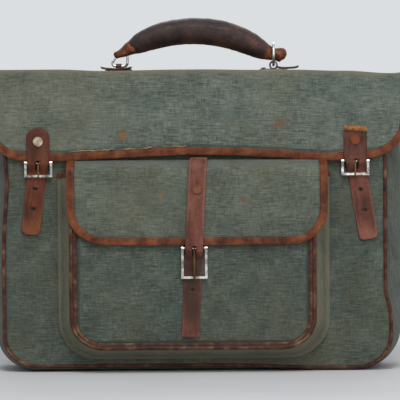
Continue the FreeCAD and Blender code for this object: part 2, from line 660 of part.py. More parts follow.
def chape(name, spot):
    """Leather folded round the heel bar, its tail riveted to the canvas under the flap."""
    body = new_body("chape_" + name)
    y, z = pin_line(spot)
    back = "-(%s)" % spot["face"]
    tail_top = z + " + Size.chape_tail"
    width = "%s - Size.buckle_wire * 2 - Size.chape_side_gap * 2" % spot["buckle_width"]
    plies = sketch_on(body, "YZ_Plane")
    skin = back + " - Size.chape_leather"
    polygon(plies, [(back, z), (back, tail_top), (skin, tail_top),
                    (skin, z + " + Size.chape_shoulder"), (y, z + " + Size.eye_radius"),
                    (y, z), (skin, z + " - Size.eye_radius / 2")])
    extrude(body, "Pad", plies, width, both=True)
    fold = sketch_on(body, "YZ_Plane")
    circle(fold, y, z, "Size.eye_radius")
    extrude(body, "Pad", fold, width, both=True)
    slot = sketch_on(body, "XZ_Plane", spot["face"] + " + Size.chape_leather")
    rectangle(slot, "-Size.prong_slot / 2", "Size.prong_slot / 2",
              z + " - Size.eye_radius - Size.chape_side_gap", z + " + Size.chape_shoulder")
    cut_forward(body, slot, "Size.pin_out + Size.eye_radius")
    bore = sketch_on(body, "YZ_Plane")
    circle(bore, y, z, "Size.pin_radius")
    extrude(body, "Pocket", bore, width, both=True)
    rivet = sketch_on(body, "XZ_Plane", spot["face"] + " + Size.chape_leather")
    circle(rivet, "0", z + " + Size.chape_rivet_height", "Size.tab_rivet_shank")
    extrude(body, "Pocket", rivet, "Size.chape_leather")
    place_on(body, spot)


def buckle_pin(name, spot):
    body = new_body("buckle_pin_" + name)
    sketch = sketch_on(body, "YZ_Plane")
    circle(sketch, *pin_line(spot), "Size.pin_radius")
    extrude(body, "Pad", sketch, spot["buckle_width"], both=True)
    place_on(body, spot)


def buckle_frame(name, spot):
    """Two arms with eyes on the heel bar, joined by the toe bar."""
    body = new_body("buckle_frame_" + name)
    y, z = pin_line(spot)
    toe = "(%s - %s)" % (z, spot["drop"])
    half = "%s / 2" % spot["buckle_width"]
    window = "(%s - Size.buckle_wire)" % half
    sketch = sketch_on(body, "XZ_Plane", "%s + Size.pin_out - Size.buckle_wire / 2" % spot["face"])
    polygon(sketch, [("-" + half, z), ("-" + half, toe + " - Size.buckle_wire / 2"),
                     (half, toe + " - Size.buckle_wire / 2"), (half, z), (window, z),
                     (window, toe + " + Size.buckle_wire / 2"),
                     ("-" + window, toe + " + Size.buckle_wire / 2"), ("-" + window, z)])
    extrude(body, "Pad", sketch, "Size.buckle_wire")
    eyes = sketch_on(body, "YZ_Plane")
    circle(eyes, y, z, "Size.eye_radius")
    extrude(body, "Pad", eyes, spot["buckle_width"], both=True)
    between = sketch_on(body, "YZ_Plane")
    circle(between, y, z, "Size.eye_radius + Size.running_gap")
    extrude(body, "Pocket", between, "%s * 2" % window, both=True)
    bore = sketch_on(body, "YZ_Plane")
    circle(bore, y, z, "Size.pin_radius + Size.running_gap")
    extrude(body, "Pocket", bore, spot["buckle_width"], both=True)
    place_on(body, spot)


def buckle_prong(name, spot):
    """A loop on the heel bar and a point that lies on the toe bar."""
    body = new_body("buckle_prong_" + name)
    y, z = pin_line(spot)
    start = "-(%s + Size.prong_start)" % spot["face"]
    finish = "-(%s + Size.prong_finish)" % spot["face"]
    tip = "%s - %s - Size.prong_past" % (z, spot["drop"])
    root = z + " - Size.pin_radius + Size.running_gap"
    blade = sketch_on(body, "YZ_Plane")
    polygon(blade, [(start, root), (start + " - Size.prong_width", root),
                    (finish + " - Size.prong_width", tip), (finish, tip)])
    extrude(body, "Pad", blade, "Size.prong_width", both=True)
    loop = sketch_on(body, "YZ_Plane")
    circle(loop, y, z, "Size.prong_loop")
    extrude(body, "Pad", loop, "Size.prong_width", both=True)
    bore = sketch_on(body, "YZ_Plane")
    circle(bore, y, z, "Size.pin_radius + Size.running_gap")
    extrude(body, "Pocket", bore, "Size.prong_width", both=True)
    place_on(body, spot)


def chape_rivets(spots):
    """One rivet through each chape's tail and the canvas behind it."""
    body = new_body("chape_rivets")
    for spot in spots:
        z = "%s + Size.chape_rivet_height" % pin_height(spot)
        steps = [("-(%s + Size.chape_rivet_rise)" % spot["behind"], "Size.chape_rivet_head",
                  "Size.chape_rivet_rise"),
                 ("-(%s)" % spot["behind"], "Size.tab_rivet_shank",
                  "%s + Size.chape_leather" % spot["behind"]),
                 ("Size.chape_leather", "Size.chape_rivet_head", "Size.chape_rivet_rise")]
        for out, radius, height in steps:
            sketch = sketch_on(body, "XZ_Plane", "%s + %s" % (spot["face"], out))
            circle(sketch, spot["x"], z, radius)
            extrude(body, "Pad", sketch, height)


def drill_for_chapes(body, spots):
    """Holes in a canvas wall for the chapes' rivets."""
    sketch = sketch_on(body, "XZ_Plane", spots[0]["face"])
    for spot in spots:
        circle(sketch, spot["x"], "%s + Size.chape_rivet_height" % pin_height(spot),
               "Size.tab_rivet_shank")
    extrude(body, "Pocket", sketch, spots[0]["behind"])


def straps():
    spots = {name: station(name) for name in SIDES}
    for name, spot in spots.items():
        strap_head(name, spot)
        strap_rivet(name, spot)
        strap_tail(name, spot)
        chape(name, spot)
        buckle_pin(name, spot)
        buckle_frame(name, spot)
        buckle_prong(name, spot)
    chape_rivets(list(spots.values()))
    walls = {body.Label: body for body in nodes}
    drill_for_chapes(walls["front_panel"], [spots["left"], spots["right"]])
    drill_for_chapes(walls["pocket_front"], [spots["center"]])


# ---------------------------------------------------------------- handle

def grip():
    """A padded roll, thickest in the middle, that arches from ring to ring."""
    body = new_body("handle_grip")
    sections = []
    for share in GRIP_STATIONS:
        sketch = sketch_on(body, "YZ_Plane", "%s * Size.grip_half_length" % share)
        rise = "%s + Size.grip_middle_height - Size.grip_arch * %s" % (LID_TOP, share ** 2)
        circle(sketch, "0", rise, "Size.grip_middle_radius - Size.grip_taper * %s" % share ** 4)
        sections.append(sketch)
    feature = loft(body, "AdditiveLoft", sections)
    feature.Ruled = False


def wire_ring(corners, bend, thick):
    """A closed ring of round wire: straight runs joined by tangent arcs."""
    count = len(corners)
    bends = []
    for i in range(count):
        here = corners[i]
        back = (corners[i - 1] - here).normalize()
        ahead = (corners[(i + 1) % count] - here).normalize()
        half = back.getAngle(ahead) / 2
        reach = bend / math.tan(half)
        center = here + (back + ahead).normalize() * (bend / math.sin(half))
        middle = center + (here - center).normalize() * bend
        bends.append((here + back * reach, middle, here + ahead * reach))
    edges = []
    for i in range(count):
        start, middle, end = bends[i]
        edges.append(Part.Arc(start, middle, end).toShape())
        edges.append(Part.LineSegment(end, bends[(i + 1) % count][0]).toShape())
    path = Part.Wire(edges)
    along = edges[1].Vertexes[1].Point - edges[1].Vertexes[0].Point
    section = Part.Wire(Part.Circle(edges[1].Vertexes[0].Point, along, thick).toShape())
    path = Part.Wire(edges[1:] + edges[:1])
    return path.makePipeShell([section], True, True)


def left_ring_corners():
    """The wire's corners: a wide foot on the turning line and a narrower top that leans inwards."""
    foot = value(RING_AXIS)
    top = foot + value("Size.ring_height")
    center = -value("Size.ring_spread")
    lean = value("Size.ring_lean")
    foot_half = value("Size.ring_foot_half")
    top_half = value("Size.ring_top_half")
    places = [(center - foot_half, foot), (center + foot_half, foot),
              (center + lean + top_half, top), (center + lean - top_half, top)]
    return [FreeCAD.Vector(x, 0, z) for x, z in places]


def built_feature(label, shape):
    feature = doc.addObject("Part::Feature", label)
    feature.Label = label
    feature.Shape = shape
    feature.Placement = FreeCAD.Placement()
    nodes.append(feature)


def left_ring_and_end():
    """The ring stands in a leather end piece that wraps its upper bar with a little air."""
    corners = left_ring_corners()
    bend = value("Size.ring_bend")
    thick = value("Size.ring_wire")
    built_feature("ring_left", wire_ring(corners, bend, thick))
    right = -value("Size.grip_half_length")
    left = right - value("Size.grip_end_reach")
    low = value(GRIP_END + " - Size.end_drop")
    high = value(GRIP_END + " + Size.left_end_rise")
    half = value("Size.end_half_width")
    chamfer = value("Size.grip_end_reach") / 3
    outline = [(right, low), (right, high), (left + chamfer, high), (left, high - chamfer),
               (left, low)]
    points = [FreeCAD.Vector(x, half, z) for x, z in outline]
    face = Part.Face(Part.makePolygon(points + points[:1]))
    block = face.extrude(FreeCAD.Vector(0, -half * 2, 0))
    channel = wire_ring(corners, bend, thick + value("Size.running_gap"))
    built_feature("handle_end_left", block.cut(channel))


def right_ring():
    """A plain round ring that stands across the bag, in the wire eye of its tab."""
    ring = doc.addObject("Part::Torus", "ring_right")
    ring.Label = "ring_right"
    bind(ring, "Radius1", "Size.round_ring_radius")
    bind(ring, "Radius2", "Size.ring_wire")
    ring.Placement = FreeCAD.Placement(FreeCAD.Vector(), FreeCAD.Rotation(FreeCAD.Vector(0, 1, 0), 90))
    bind(ring, "Placement.Base.x", "Size.ring_spread")
    bind(ring, "Placement.Base.z", RING_AXIS + " + Size.round_ring_radius")
    nodes.append(ring)


def right_end():
    """Leather that passes through the round ring and folds into a knob behind it."""
    body = new_body("handle_end_right")
    low = GRIP_END + " - Size.end_drop"
    high = GRIP_END + " + Size.end_rise"
    knob = "Size.grip_half_length + Size.knob_start"
    stem = sketch_on(body, "XZ_Plane", "-Size.end_half_width")
    rectangle(stem, "Size.grip_half_length", knob, low, high)
    extrude(body, "Pad", stem, "Size.end_half_width * 2")
    ball = sketch_on(body, "XZ_Plane", "-Size.knob_half_width")
    rectangle(ball, knob, knob + " + Size.knob_length", low + " - Size.knob_extra",
              high + " + Size.knob_extra")
    extrude(body, "Pad", ball, "Size.knob_half_width * 2")


def drill_tab(body, center):
    sketch = sketch_on(body, "XY_Plane", LID_TOP + " + Size.tab_thick")
    for end in (-1, 1):
        circle(sketch, "%s + %d * Size.tab_rivet_offset" % (center, end), "0", "Size.tab_rivet_shank")
    extrude(body, "Pocket", sketch, "Size.tab_thick")


def tab_plate(body, center):
    sketch = sketch_on(body, "XY_Plane", LID_TOP)
    rectangle(sketch, center + " - Size.tab_half_length", center + " + Size.tab_half_length",
              "-Size.tab_half_width", "Size.tab_half_width")
    extrude(body, "Pad", sketch, "Size.tab_thick")


def left_clip():
    """A plate whose middle is rolled round the left ring's lower bar."""
    body = new_body("ring_clip_left")
    center = "-Size.ring_spread"
    tab_plate(body, center)
    neck = sketch_on(body, "YZ_Plane", center)
    rectangle(neck, "-Size.clip_neck", "Size.clip_neck", LID_TOP, RING_AXIS + " - Size.ring_wire")
    extrude(body, "Pad", neck, "Size.clip_width", both=True)
    roll = sketch_on(body, "YZ_Plane", center)
    circle(roll, "0", RING_AXIS, "Size.clip_radius")
    extrude(body, "Pad", roll, "Size.clip_width", both=True)
    bore = sketch_on(body, "YZ_Plane", center)
    circle(bore, "0", RING_AXIS, "Size.ring_wire + Size.running_gap")
    extrude(body, "Pocket", bore, "Size.clip_width", both=True)
    drill_tab(body, center)


def right_eye():
    """A plate with a standing eye of wire for the round ring."""
    body = new_body("ring_eye_right")
    center = "Size.ring_spread"
    tab_plate(body, center)
    eye = body.newObject("PartDesign::AdditiveTorus", "eye_wire_ring")
    bind(eye, "Radius1", "Size.eye_ring_radius")
    bind(eye, "Radius2", "Size.eye_wire")
    plane = [item for item in body.Origin.OriginFeatures if item.Role == "XZ_Plane"][0]
    eye.AttachmentSupport = (plane, [""])
    eye.MapMode = "FlatFace"
    bind(eye, "AttachmentOffset.Base.x", center)
    bind(eye, "AttachmentOffset.Base.y", RING_AXIS)
    body.Tip = eye
    drill_tab(body, center)


def tab_rivets():
    """Head on the plate, shank through plate, canvas and board, head under the board."""
    body = new_body("tab_rivets")
    steps = [(LID + " - Size.board_thick - Size.tab_rivet_rise", "Size.tab_rivet_head",
              "Size.tab_rivet_rise"),
             (LID + " - Size.board_thick", "Size.tab_rivet_shank",
              "Size.board_thick + Size.flap_canvas + Size.tab_thick"),
             (LID_TOP + " + Size.tab_thick", "Size.tab_rivet_head", "Size.tab_rivet_rise")]
    for low, radius, height in steps:
        sketch = sketch_on(body, "XY_Plane", low)
        for place in rivet_places():
            circle(sketch, place, "0", radius)
        extrude(body, "Pad", sketch, height)


def handle():
    grip()
    left_ring_and_end()
    right_ring()
    right_end()
    left_clip()
    right_eye()
    tab_rivets()


# ---------------------------------------------------------------- build, check and write

def check_model():
    doc.recompute()
    faults = [item.Label for item in doc.Objects
              if "Invalid" in item.State or "Error" in item.State]
    for node in nodes:
        if node.Shape.isNull() or not node.Shape.isValid() or not node.Shape.Solids:
            faults.append(node.Label + " shape")
    if faults:
        raise RuntimeError("failed: " + ", ".join(faults))


def write_parts():
    os.makedirs("parts", exist_ok=True)
    for node in nodes:
        node.Shape.exportStep("parts/%s.step" % node.Label)
        box = node.Shape.optimalBoundingBox()
        print("%-24s %2d solids %10.1f mm3  x %.1f..%.1f  y %.1f..%.1f  z %.1f..%.1f" % (
            node.Label, len(node.Shape.Solids), node.Shape.Volume, box.XMin, box.XMax,
            box.YMin, box.YMax, box.ZMin, box.ZMax))


def soft_box():
    wall_panel("front_panel", "Size.bag_half_depth - Size.canvas_wall", FRONT_TOP)
    wall_panel("back_panel", "-Size.bag_half_depth", "Size.wall_top")
    gusset()
    seam_beads()
    hem("mouth_hem", WALL, "Size.canvas_wall", FRONT_TOP,
        "Size.panel_half_width - Size.hem_end_gap")
    board("base_board", "Size.base_board_half_length", "Size.base_board_half_depth",
          "Size.canvas_wall")


soft_box()
main_flap()
pocket()
straps()
handle()
check_model()
write_parts()
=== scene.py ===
import bpy
import bmesh
import math
from mathutils import Matrix, Vector, noise


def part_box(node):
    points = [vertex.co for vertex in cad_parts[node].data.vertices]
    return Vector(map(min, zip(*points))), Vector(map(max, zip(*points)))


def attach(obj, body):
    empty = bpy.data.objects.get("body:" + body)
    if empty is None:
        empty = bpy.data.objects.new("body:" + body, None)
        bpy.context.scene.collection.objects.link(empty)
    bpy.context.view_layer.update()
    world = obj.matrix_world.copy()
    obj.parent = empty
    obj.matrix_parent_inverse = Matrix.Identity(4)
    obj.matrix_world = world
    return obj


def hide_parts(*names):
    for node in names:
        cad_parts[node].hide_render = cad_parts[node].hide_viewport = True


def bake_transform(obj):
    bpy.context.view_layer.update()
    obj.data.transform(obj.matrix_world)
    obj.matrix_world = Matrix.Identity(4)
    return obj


# A canvas mail satchel bound in leather: soft walls and gusset, a full flap that folds over its
# top, a front pocket with a flap of its own, three buckled straps and a padded handle.
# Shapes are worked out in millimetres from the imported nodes' boxes and made in metres.

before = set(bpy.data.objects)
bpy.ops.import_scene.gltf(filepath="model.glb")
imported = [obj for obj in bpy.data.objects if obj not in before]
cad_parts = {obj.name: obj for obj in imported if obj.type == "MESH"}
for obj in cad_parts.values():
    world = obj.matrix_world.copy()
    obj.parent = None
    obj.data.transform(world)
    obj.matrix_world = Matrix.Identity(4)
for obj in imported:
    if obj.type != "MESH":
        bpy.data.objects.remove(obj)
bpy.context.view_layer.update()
MM = 0.001
BINDING_WIDE = 8.5      # the leather folded round the main flap's edge
INSET = BINDING_WIDE / 2
TUCK = 2.5              # how far a flap's canvas stays inside its leather's outer edge
SPARE = 6               # how far a flap's surface runs on below its edge
PRONG_SLOT = (6.0, 2.2, 6.6)    # its place down a strap's tail, its radius and how much longer
STRAP_HOLE = 1.9
POCKET_LEFT = 4.6       # how far the filled pocket hangs to the left
POCKET_UP = 2.8         # how far its lower end stands clear of the base
PANEL_CORNER = 31
SIDES = ((-1, "left"), (1, "right"))
UNDERSIDE = math.pi * 1.5       # where a round section faces down or forward


def reach(node):
    """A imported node's low and high corners, in millimetres."""
    low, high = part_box(node)
    return low / MM, high / MM


def ease(value, start, end):
    """From 0 at start to 1 at end, slow at both."""
    share = min(max((value - start) / (end - start), 0), 1)
    return share * share * (3 - 2 * share)


def hill(value, middle, width):
    """1 at the middle, falling away on both sides like a bell."""
    return math.exp(-((value - middle) / width) ** 2)


def squared(part, power):
    """A sine or cosine drawn out to its ends, so that a circle comes near a rounded square."""
    return abs(part) ** power * (1 if part > 0 else -1)


def wander(first, second, seed, size):
    """A smooth uneven number from about -1 to 1, that changes over size millimetres."""
    return noise.noise(Vector((first / size, second / size, seed)))


# -------- finishes

def shade(red, green, blue):
    """A screen colour from 0 to 255 as the linear colour that Blender takes."""
    def linear(part):
        part /= 255
        return part / 12.92 if part <= 0.04045 else ((part + 0.055) / 1.055) ** 2.4
    return linear(red), linear(green), linear(blue)


def maths(operation, turned=False):
    """A method of Amount that adds a Math node; turned swaps its two values."""
    def method(self, other=0.0):
        pair = (other, self) if turned else (self, other)
        node = self.finish.add("ShaderNodeMath", {"operation": operation}, dict(enumerate(pair)))
        return Amount(self.finish, node.outputs[0])
    return method


class Amount:
    """A number that varies over a surface; Python's operators add the Math nodes."""

    def __init__(self, finish, socket):
        self.finish = finish
        self.socket = socket

    __add__ = __radd__ = maths("ADD")
    __sub__ = maths("SUBTRACT")
    __rsub__ = maths("SUBTRACT", turned=True)
    __mul__ = __rmul__ = maths("MULTIPLY")
    __truediv__ = maths("DIVIDE")
    __mod__ = maths("FLOORED_MODULO")
    size = maths("ABSOLUTE")
    wave = maths("SINE")
    below = maths("LESS_THAN")

    def rise(self, start, end):
        """0 up to start and 1 from end on."""
        settings = {"interpolation_type": "SMOOTHSTEP"}
        values = {"Value": self, "From Min": start, "From Max": end}
        node = self.finish.add("ShaderNodeMapRange", settings, values)
        return Amount(self.finish, node.outputs[0])


class Finish:
    """A material, or the world, with the few kinds of node that are needed here."""

    def __init__(self, name, kept_in=bpy.data.materials):
        self.made = kept_in.new(name)
        self.made.use_nodes = True
        self.tree = self.made.node_tree
        self.tree.nodes.clear()

    def add(self, kind, settings, values):
        """A node of that kind, its settings first, then its sockets' values or links."""
        node = self.tree.nodes.new(kind)
        for key, setting in settings.items():
            if key == "stops":
                self.set_stops(node.color_ramp, setting)
            else:
                setattr(node, key, setting)
        for key, value in values.items():
            if isinstance(value, Amount):
                self.tree.links.new(value.socket, node.inputs[key])
            elif isinstance(value, bpy.types.NodeSocket):
                self.tree.links.new(value, node.inputs[key])
            else:
                node.inputs[key].default_value = value
        return node

    @staticmethod
    def set_stops(ramp, stops):
        for place, _ in stops[2:]:
            ramp.elements.new(place)
        for element, (place, colour) in zip(ramp.elements, sorted(stops)):
            element.position = place
            element.color = (*shade(*colour), 1)

    def on_cloth(self):
        """The piece's own flat pattern, in metres."""
        return self.add("ShaderNodeUVMap", {"uv_map": "cut"}, {}).outputs[0]

    def on_object(self):
        return self.add("ShaderNodeTexCoord", {}, {}).outputs["Object"]

    def parts(self, vector):
        node = self.add("ShaderNodeSeparateXYZ", {}, {0: vector})
        return [Amount(self, socket) for socket in node.outputs]

    def speckle(self, vector, scale, detail=2, shift=(0, 0, 0), roughness=0.55):
        """Noise from 0 to 1; scale is per metre, one number or one along each axis."""
        scale = scale if isinstance(scale, tuple) else (scale, scale, scale)
        scaled = self.add("ShaderNodeMapping", {}, {"Vector": vector, "Scale": scale,
                                                    "Location": shift})
        values = {"Vector": scaled.outputs[0], "Scale": 1, "Detail": detail,
                  "Roughness": roughness}
        return Amount(self, self.add("ShaderNodeTexNoise", {}, values).outputs[0])

    def wear_and_shade(self):
        """How worn each point of the mesh is, painted when the piece was made; negative values are
        painted shade.
        """
        node = self.add("ShaderNodeAttribute", {"attribute_name": "rub"}, {})
        return Amount(self, node.outputs[2])

    def ramp(self, amount, stops):
        return self.add("ShaderNodeValToRGB", {"stops": stops}, {0: amount}).outputs[0]

    def mix(self, amount, colour, over):
        """A screen colour laid over another colour by that amount."""
        values = {0: amount, 6: colour, 7: (*shade(*over), 1)}
        return self.add("ShaderNodeMix", {"data_type": "RGBA"}, values).outputs[2]

    def bump(self, height, distance, strength=1.0):
        values = {"Height": height, "Distance": distance, "Strength": strength}
        return self.add("ShaderNodeBump", {}, values).outputs[0]

    def surface(self, values):
        shader = self.add("ShaderNodeBsdfPrincipled", {}, values)
        self.add("ShaderNodeOutputMaterial", {}, {0: shader.outputs[0]})
        return self.made


def canvas(name, deep, plain, pale, warm, cool, stains=()):
    """Two-tone woven canvas: dark warp, paler weft, tan slubs; worn paler where its rub is positive and
    darkened with painted shade where it is negative.
    """
    finish = Finish(name)
    cut = finish.on_cloth()
    place = finish.on_object()
    across, along, _ = finish.parts(cut)
    weft = finish.speckle(cut, (62, 900, 1), 4, (3, 7, 0), 0.7)
    warp = finish.speckle(cut, (1000, 70, 1), 4, (11, 5, 0), 0.7)
    fine = finish.speckle(cut, (700, 1700, 1), 2, (2, 9, 0))
    patches = finish.speckle(place, 11, 3)
    clouds = finish.speckle(place, 42, 3, (4, 1, 8))
    threads = (across * 5200).wave() * (along * 5200).wave()
    mottle = finish.speckle(cut, (210, 330, 1), 4, (5, 3, 0), 0.65)
    value = 0.5 + (weft - 0.5) * 1.1 + (warp - 0.5) * 0.55 + (fine - 0.5) * 0.55
    value = value + (mottle - 0.5) * 0.6 + (clouds - 0.5) * 0.45 + threads * 0.06
    colour = finish.ramp(value, [(0.2, deep), (0.5, plain), (0.82, pale)])
    slubs = weft.rise(0.6, 0.74) * 0.55 + warp.rise(0.62, 0.76) * 0.35
    colour = finish.mix(slubs * patches.rise(0.35, 0.65), colour, warm)
    colour = finish.mix(patches.rise(0.42, 0.72) * 0.3, colour, warm)
    drift = finish.speckle(place, 26, 4, (7, 7, 3))
    colour = finish.mix(drift.rise(0.48, 0.7) * 0.3, colour, cool)
    blots = finish.speckle(place, 210, 3, (6, 2, 2))
    for spot, radius, tint in stains:
        off = finish.add("ShaderNodeVectorMath", {"operation": "DISTANCE"}, {0: place, 1: spot})
        far = Amount(finish, off.outputs["Value"]) / radius + (blots - 0.5) * 2.2
        colour = finish.mix((1 - far.rise(0.1, 1.0)) * (0.25 + weft * 0.9), colour, tint)
    rub = finish.wear_and_shade() + (clouds - 0.5) * 0.35 * finish.wear_and_shade().rise(0, 0.3)
    colour = finish.mix(rub.rise(0.2, 1.0) * 0.8, colour, warm)
    # Negative rub darkens the canvas towards its deep colour: painted shade beside the leather bindings
    # and piping, and a darker band on the pocket's sides.
    colour = finish.mix((finish.wear_and_shade() * -1).rise(0.0, 1.0) * 0.85, colour, deep)
    height = weft * 0.5 + warp * 0.5 + fine * 0.35 + threads * 0.25
    return finish.surface({
        "Base Color": colour,
        "Roughness": 0.86 + (patches - 0.5) * 0.1,
        "Normal": finish.bump(height, 0.0006, 0.75),
        "Specular IOR Level": 0.22,
        "Sheen Weight": 0.12,
        "Sheen Roughness": 0.6,
    })


def leather(name, deep, plain, worn, rows=(), gloss=0.5, streak=90):
    """Vegetable-tanned leather: mottled, fine-grained, worn pale at its edges and darkened where its rub
    is negative, which is painted shade along seams and grooves and a darker tone elsewhere; rows are the
    places of its stitching across the strip, in metres."""
    finish = Finish(name)
    cut = finish.on_cloth()
    place = finish.on_object()
    mottle = finish.speckle(place, streak, 4, (1, 5, 2), 0.6)
    grain = finish.speckle(place, 1500, 2)
    creases = finish.speckle(place, 330, 5, (9, 2, 4), 0.7)
    colour = finish.ramp(mottle + (creases - 0.5) * 0.22, [(0.3, deep), (0.52, plain), (0.8, worn)])
    rub = finish.wear_and_shade() * (0.3 + mottle * 1.4)
    colour = finish.mix(rub.rise(0.3, 0.95) * 0.8, colour, worn)
    # Negative rub darkens the leather: painted shade in the binding's inner edge and the piping's groove,
    # a darker tone on straps and handle.
    colour = finish.mix((finish.wear_and_shade() * -1).rise(0.05, 1.0) * 0.75, colour, deep)
    cracks = 1 - (creases - 0.5).size().rise(0.0, 0.045)
    colour = finish.mix(cracks * 0.25, colour, deep)
    height = grain * 0.3 + mottle * 0.4 - cracks * 0.25
    across, along, _ = finish.parts(cut)
    for row in rows:
        thread = (across - row).size().below(0.0003) * (along % 0.0029).below(0.0019)
        colour = finish.mix(thread * 0.4, colour, (132, 92, 62))
        height = height + thread * 0.7 - (across - row).size().below(0.0005) * 0.5
    return finish.surface({
        "Base Color": colour,
        "Roughness": 1 - (gloss + (mottle - 0.5) * 0.3 - rub * 0.15),
        "Normal": finish.bump(height, 0.0005, 0.8),
        "Specular IOR Level": 0.3,
    })


def worn_metal(name, bright, dull, tarnish, shine=0.32):
    """Plated metal, bright where it is worn and spotted with tarnish elsewhere."""
    finish = Finish(name)
    place = finish.on_object()
    cloud = finish.speckle(place, 130, 3)
    scratches = finish.speckle(place, (2600, 300, 900), 2)
    pits = finish.speckle(place, 700, 3, (3, 3, 1)).rise(0.6, 0.74)
    colour = finish.ramp(cloud, [(0.35, dull), (0.6, bright)])
    colour = finish.mix(pits * cloud.rise(0.35, 0.6), colour, tarnish)
    return finish.surface({
        "Base Color": colour,
        "Metallic": 0.95 - pits * 0.35,
        "Roughness": shine + (cloud - 0.5) * 0.3 + pits * 0.25,
        "Normal": finish.bump(scratches * 0.5 - pits * 0.6, 0.00008),
    })


def fibre_board():
    """Pressed board, stained in places."""
    finish = Finish("fibre_board")
    place = finish.on_object()
    fibres = finish.speckle(place, (420, 420, 900), 5, (0, 0, 0), 0.7)
    stains = finish.speckle(place, 25, 3, (5, 2, 1))
    colour = finish.ramp(fibres, [(0.3, (104, 84, 58)), (0.7, (158, 134, 98))])
    colour = finish.mix(stains.rise(0.5, 0.75) * 0.5, colour, (84, 66, 46))
    return finish.surface({"Base Color": colour, "Roughness": 0.85 + (fibres - 0.5) * 0.1,
                           "Normal": finish.bump(fibres, 0.0003, 0.5)})


def cotton(name, colour, dark):
    """Twisted thread."""
    finish = Finish(name)
    twist = finish.speckle(finish.on_object(), 900, 3)
    return finish.surface({"Base Color": finish.ramp(twist, [(0.3, dark), (0.7, colour)]),
                           "Roughness": 0.9, "Normal": finish.bump(twist, 0.0003, 0.6)})


RUST_SPOT = ((-0.073, -0.055, 0.238), 0.0075, (136, 92, 34))
RED_SPOT = ((0.084, -0.055, 0.2485), 0.0095, (118, 82, 60))
SMALL_SPOT = ((0.047, -0.082, 0.172), 0.004, (120, 70, 46))
SEAM_SPOT = ((-0.036, -0.082, 0.176), 0.007, (124, 104, 72))
FLAP_CANVAS = canvas("flap_canvas", (50, 58, 51), (93, 101, 92), (132, 138, 126), (112, 105, 80),
                     (82, 100, 96), (RUST_SPOT, RED_SPOT))
POCKET_FLAP_CANVAS = canvas("pocket_flap_canvas", (50, 56, 48), (86, 92, 81), (122, 127, 113),
                            (108, 100, 74), (80, 96, 88), (SMALL_SPOT, SEAM_SPOT))
WALL_CANVAS = canvas("wall_canvas", (36, 44, 38), (74, 82, 73), (108, 116, 104), (94, 88, 66),
                     (62, 80, 76))
EDGE_CANVAS = canvas("turned_edge_canvas", (52, 56, 44), (88, 90, 73), (120, 119, 98),
                     (116, 110, 84), (78, 90, 72))
BINDING = leather("binding_leather", (60, 27, 13), (110, 56, 30), (146, 86, 46), (-0.0022,), 0.4)
PIPING = leather("piping_leather", (26, 14, 10), (84, 44, 30), (130, 108, 74), (), 0.4)
STRAP = leather("strap_leather", (44, 22, 11), (92, 42, 22), (126, 72, 44), (), 0.45, (60, 60, 25))
PINK_STRAP = leather("pink_strap_leather", (48, 29, 20), (102, 56, 42), (142, 90, 74), (), 0.45,
                     (60, 60, 25))
GRIP = leather("grip_leather", (28, 20, 18), (56, 40, 36), (104, 60, 46), (), 0.5, (45, 60, 60))
END_LEATHER = leather("handle_end_leather", (48, 32, 18), (116, 58, 36), (164, 108, 60), (), 0.4,
                      190)
TORN_LEATHER = leather("torn_leather", (110, 62, 28), (152, 100, 50), (184, 140, 84), (), 0.3, 300)
# Near-black leather for the walls of the punched holes: painted shade inside the holes.
HOLE_SHADE = leather("painted_hole_shade", (14, 9, 7), (20, 13, 10), (26, 17, 12), (), 0.2)
TAB_LEATHER = leather("tab_leather", (40, 27, 24), (68, 46, 38), (112, 84, 62))
STEEL = worn_metal("nickelled_steel", (232, 228, 220), (128, 120, 110), (104, 84, 64), 0.2)
PRONG_STEEL = worn_metal("rusty_prong", (112, 80, 60), (78, 52, 38), (52, 34, 26), 0.42)
RIVET = worn_metal("rubbed_rivet", (214, 200, 178), (132, 108, 84), (84, 58, 42), 0.34)
WORN_RIVET = worn_metal("worn_rivet", (118, 66, 42), (88, 46, 30), (60, 52, 32), 0.5)
DULL_RIVET = worn_metal("dull_rivet", (126, 82, 66), (98, 60, 48), (72, 50, 38), 0.5)
EYE_STEEL = worn_metal("dull_eye_steel", (132, 122, 108), (62, 50, 42), (44, 32, 26), 0.4)
BOARD = fibre_board()
THREAD = cotton("loose_thread", (164, 150, 112), (112, 96, 66))


# -------- making pieces

def placed(name, data):
    """A new object with that mesh, light or camera, in the scene."""
    thing = bpy.data.objects.new(name, data)
    bpy.context.scene.collection.objects.link(thing)
    return thing


def made(mesh_maker, name, finish, body=None, stands_for=()):
    """Turns a bmesh into an object with its finish, its body and the nodes it stands for."""
    mesh = bpy.data.meshes.new(name)
    mesh_maker.to_mesh(mesh)
    mesh_maker.free()
    piece = placed(name, mesh)
    mesh.materials.append(finish)
    for face in mesh.polygons:
        face.use_smooth = True
    if body:
        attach(piece, body)
    if stands_for:
        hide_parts(*stands_for)
    return piece


def settle(piece):
    """Applies the piece's modifiers, so that its mesh is final."""
    bpy.context.view_layer.update()
    settled = piece.evaluated_get(bpy.context.evaluated_depsgraph_get())
    mesh = bpy.data.meshes.new_from_object(settled)
    piece.modifiers.clear()
    piece.data = mesh


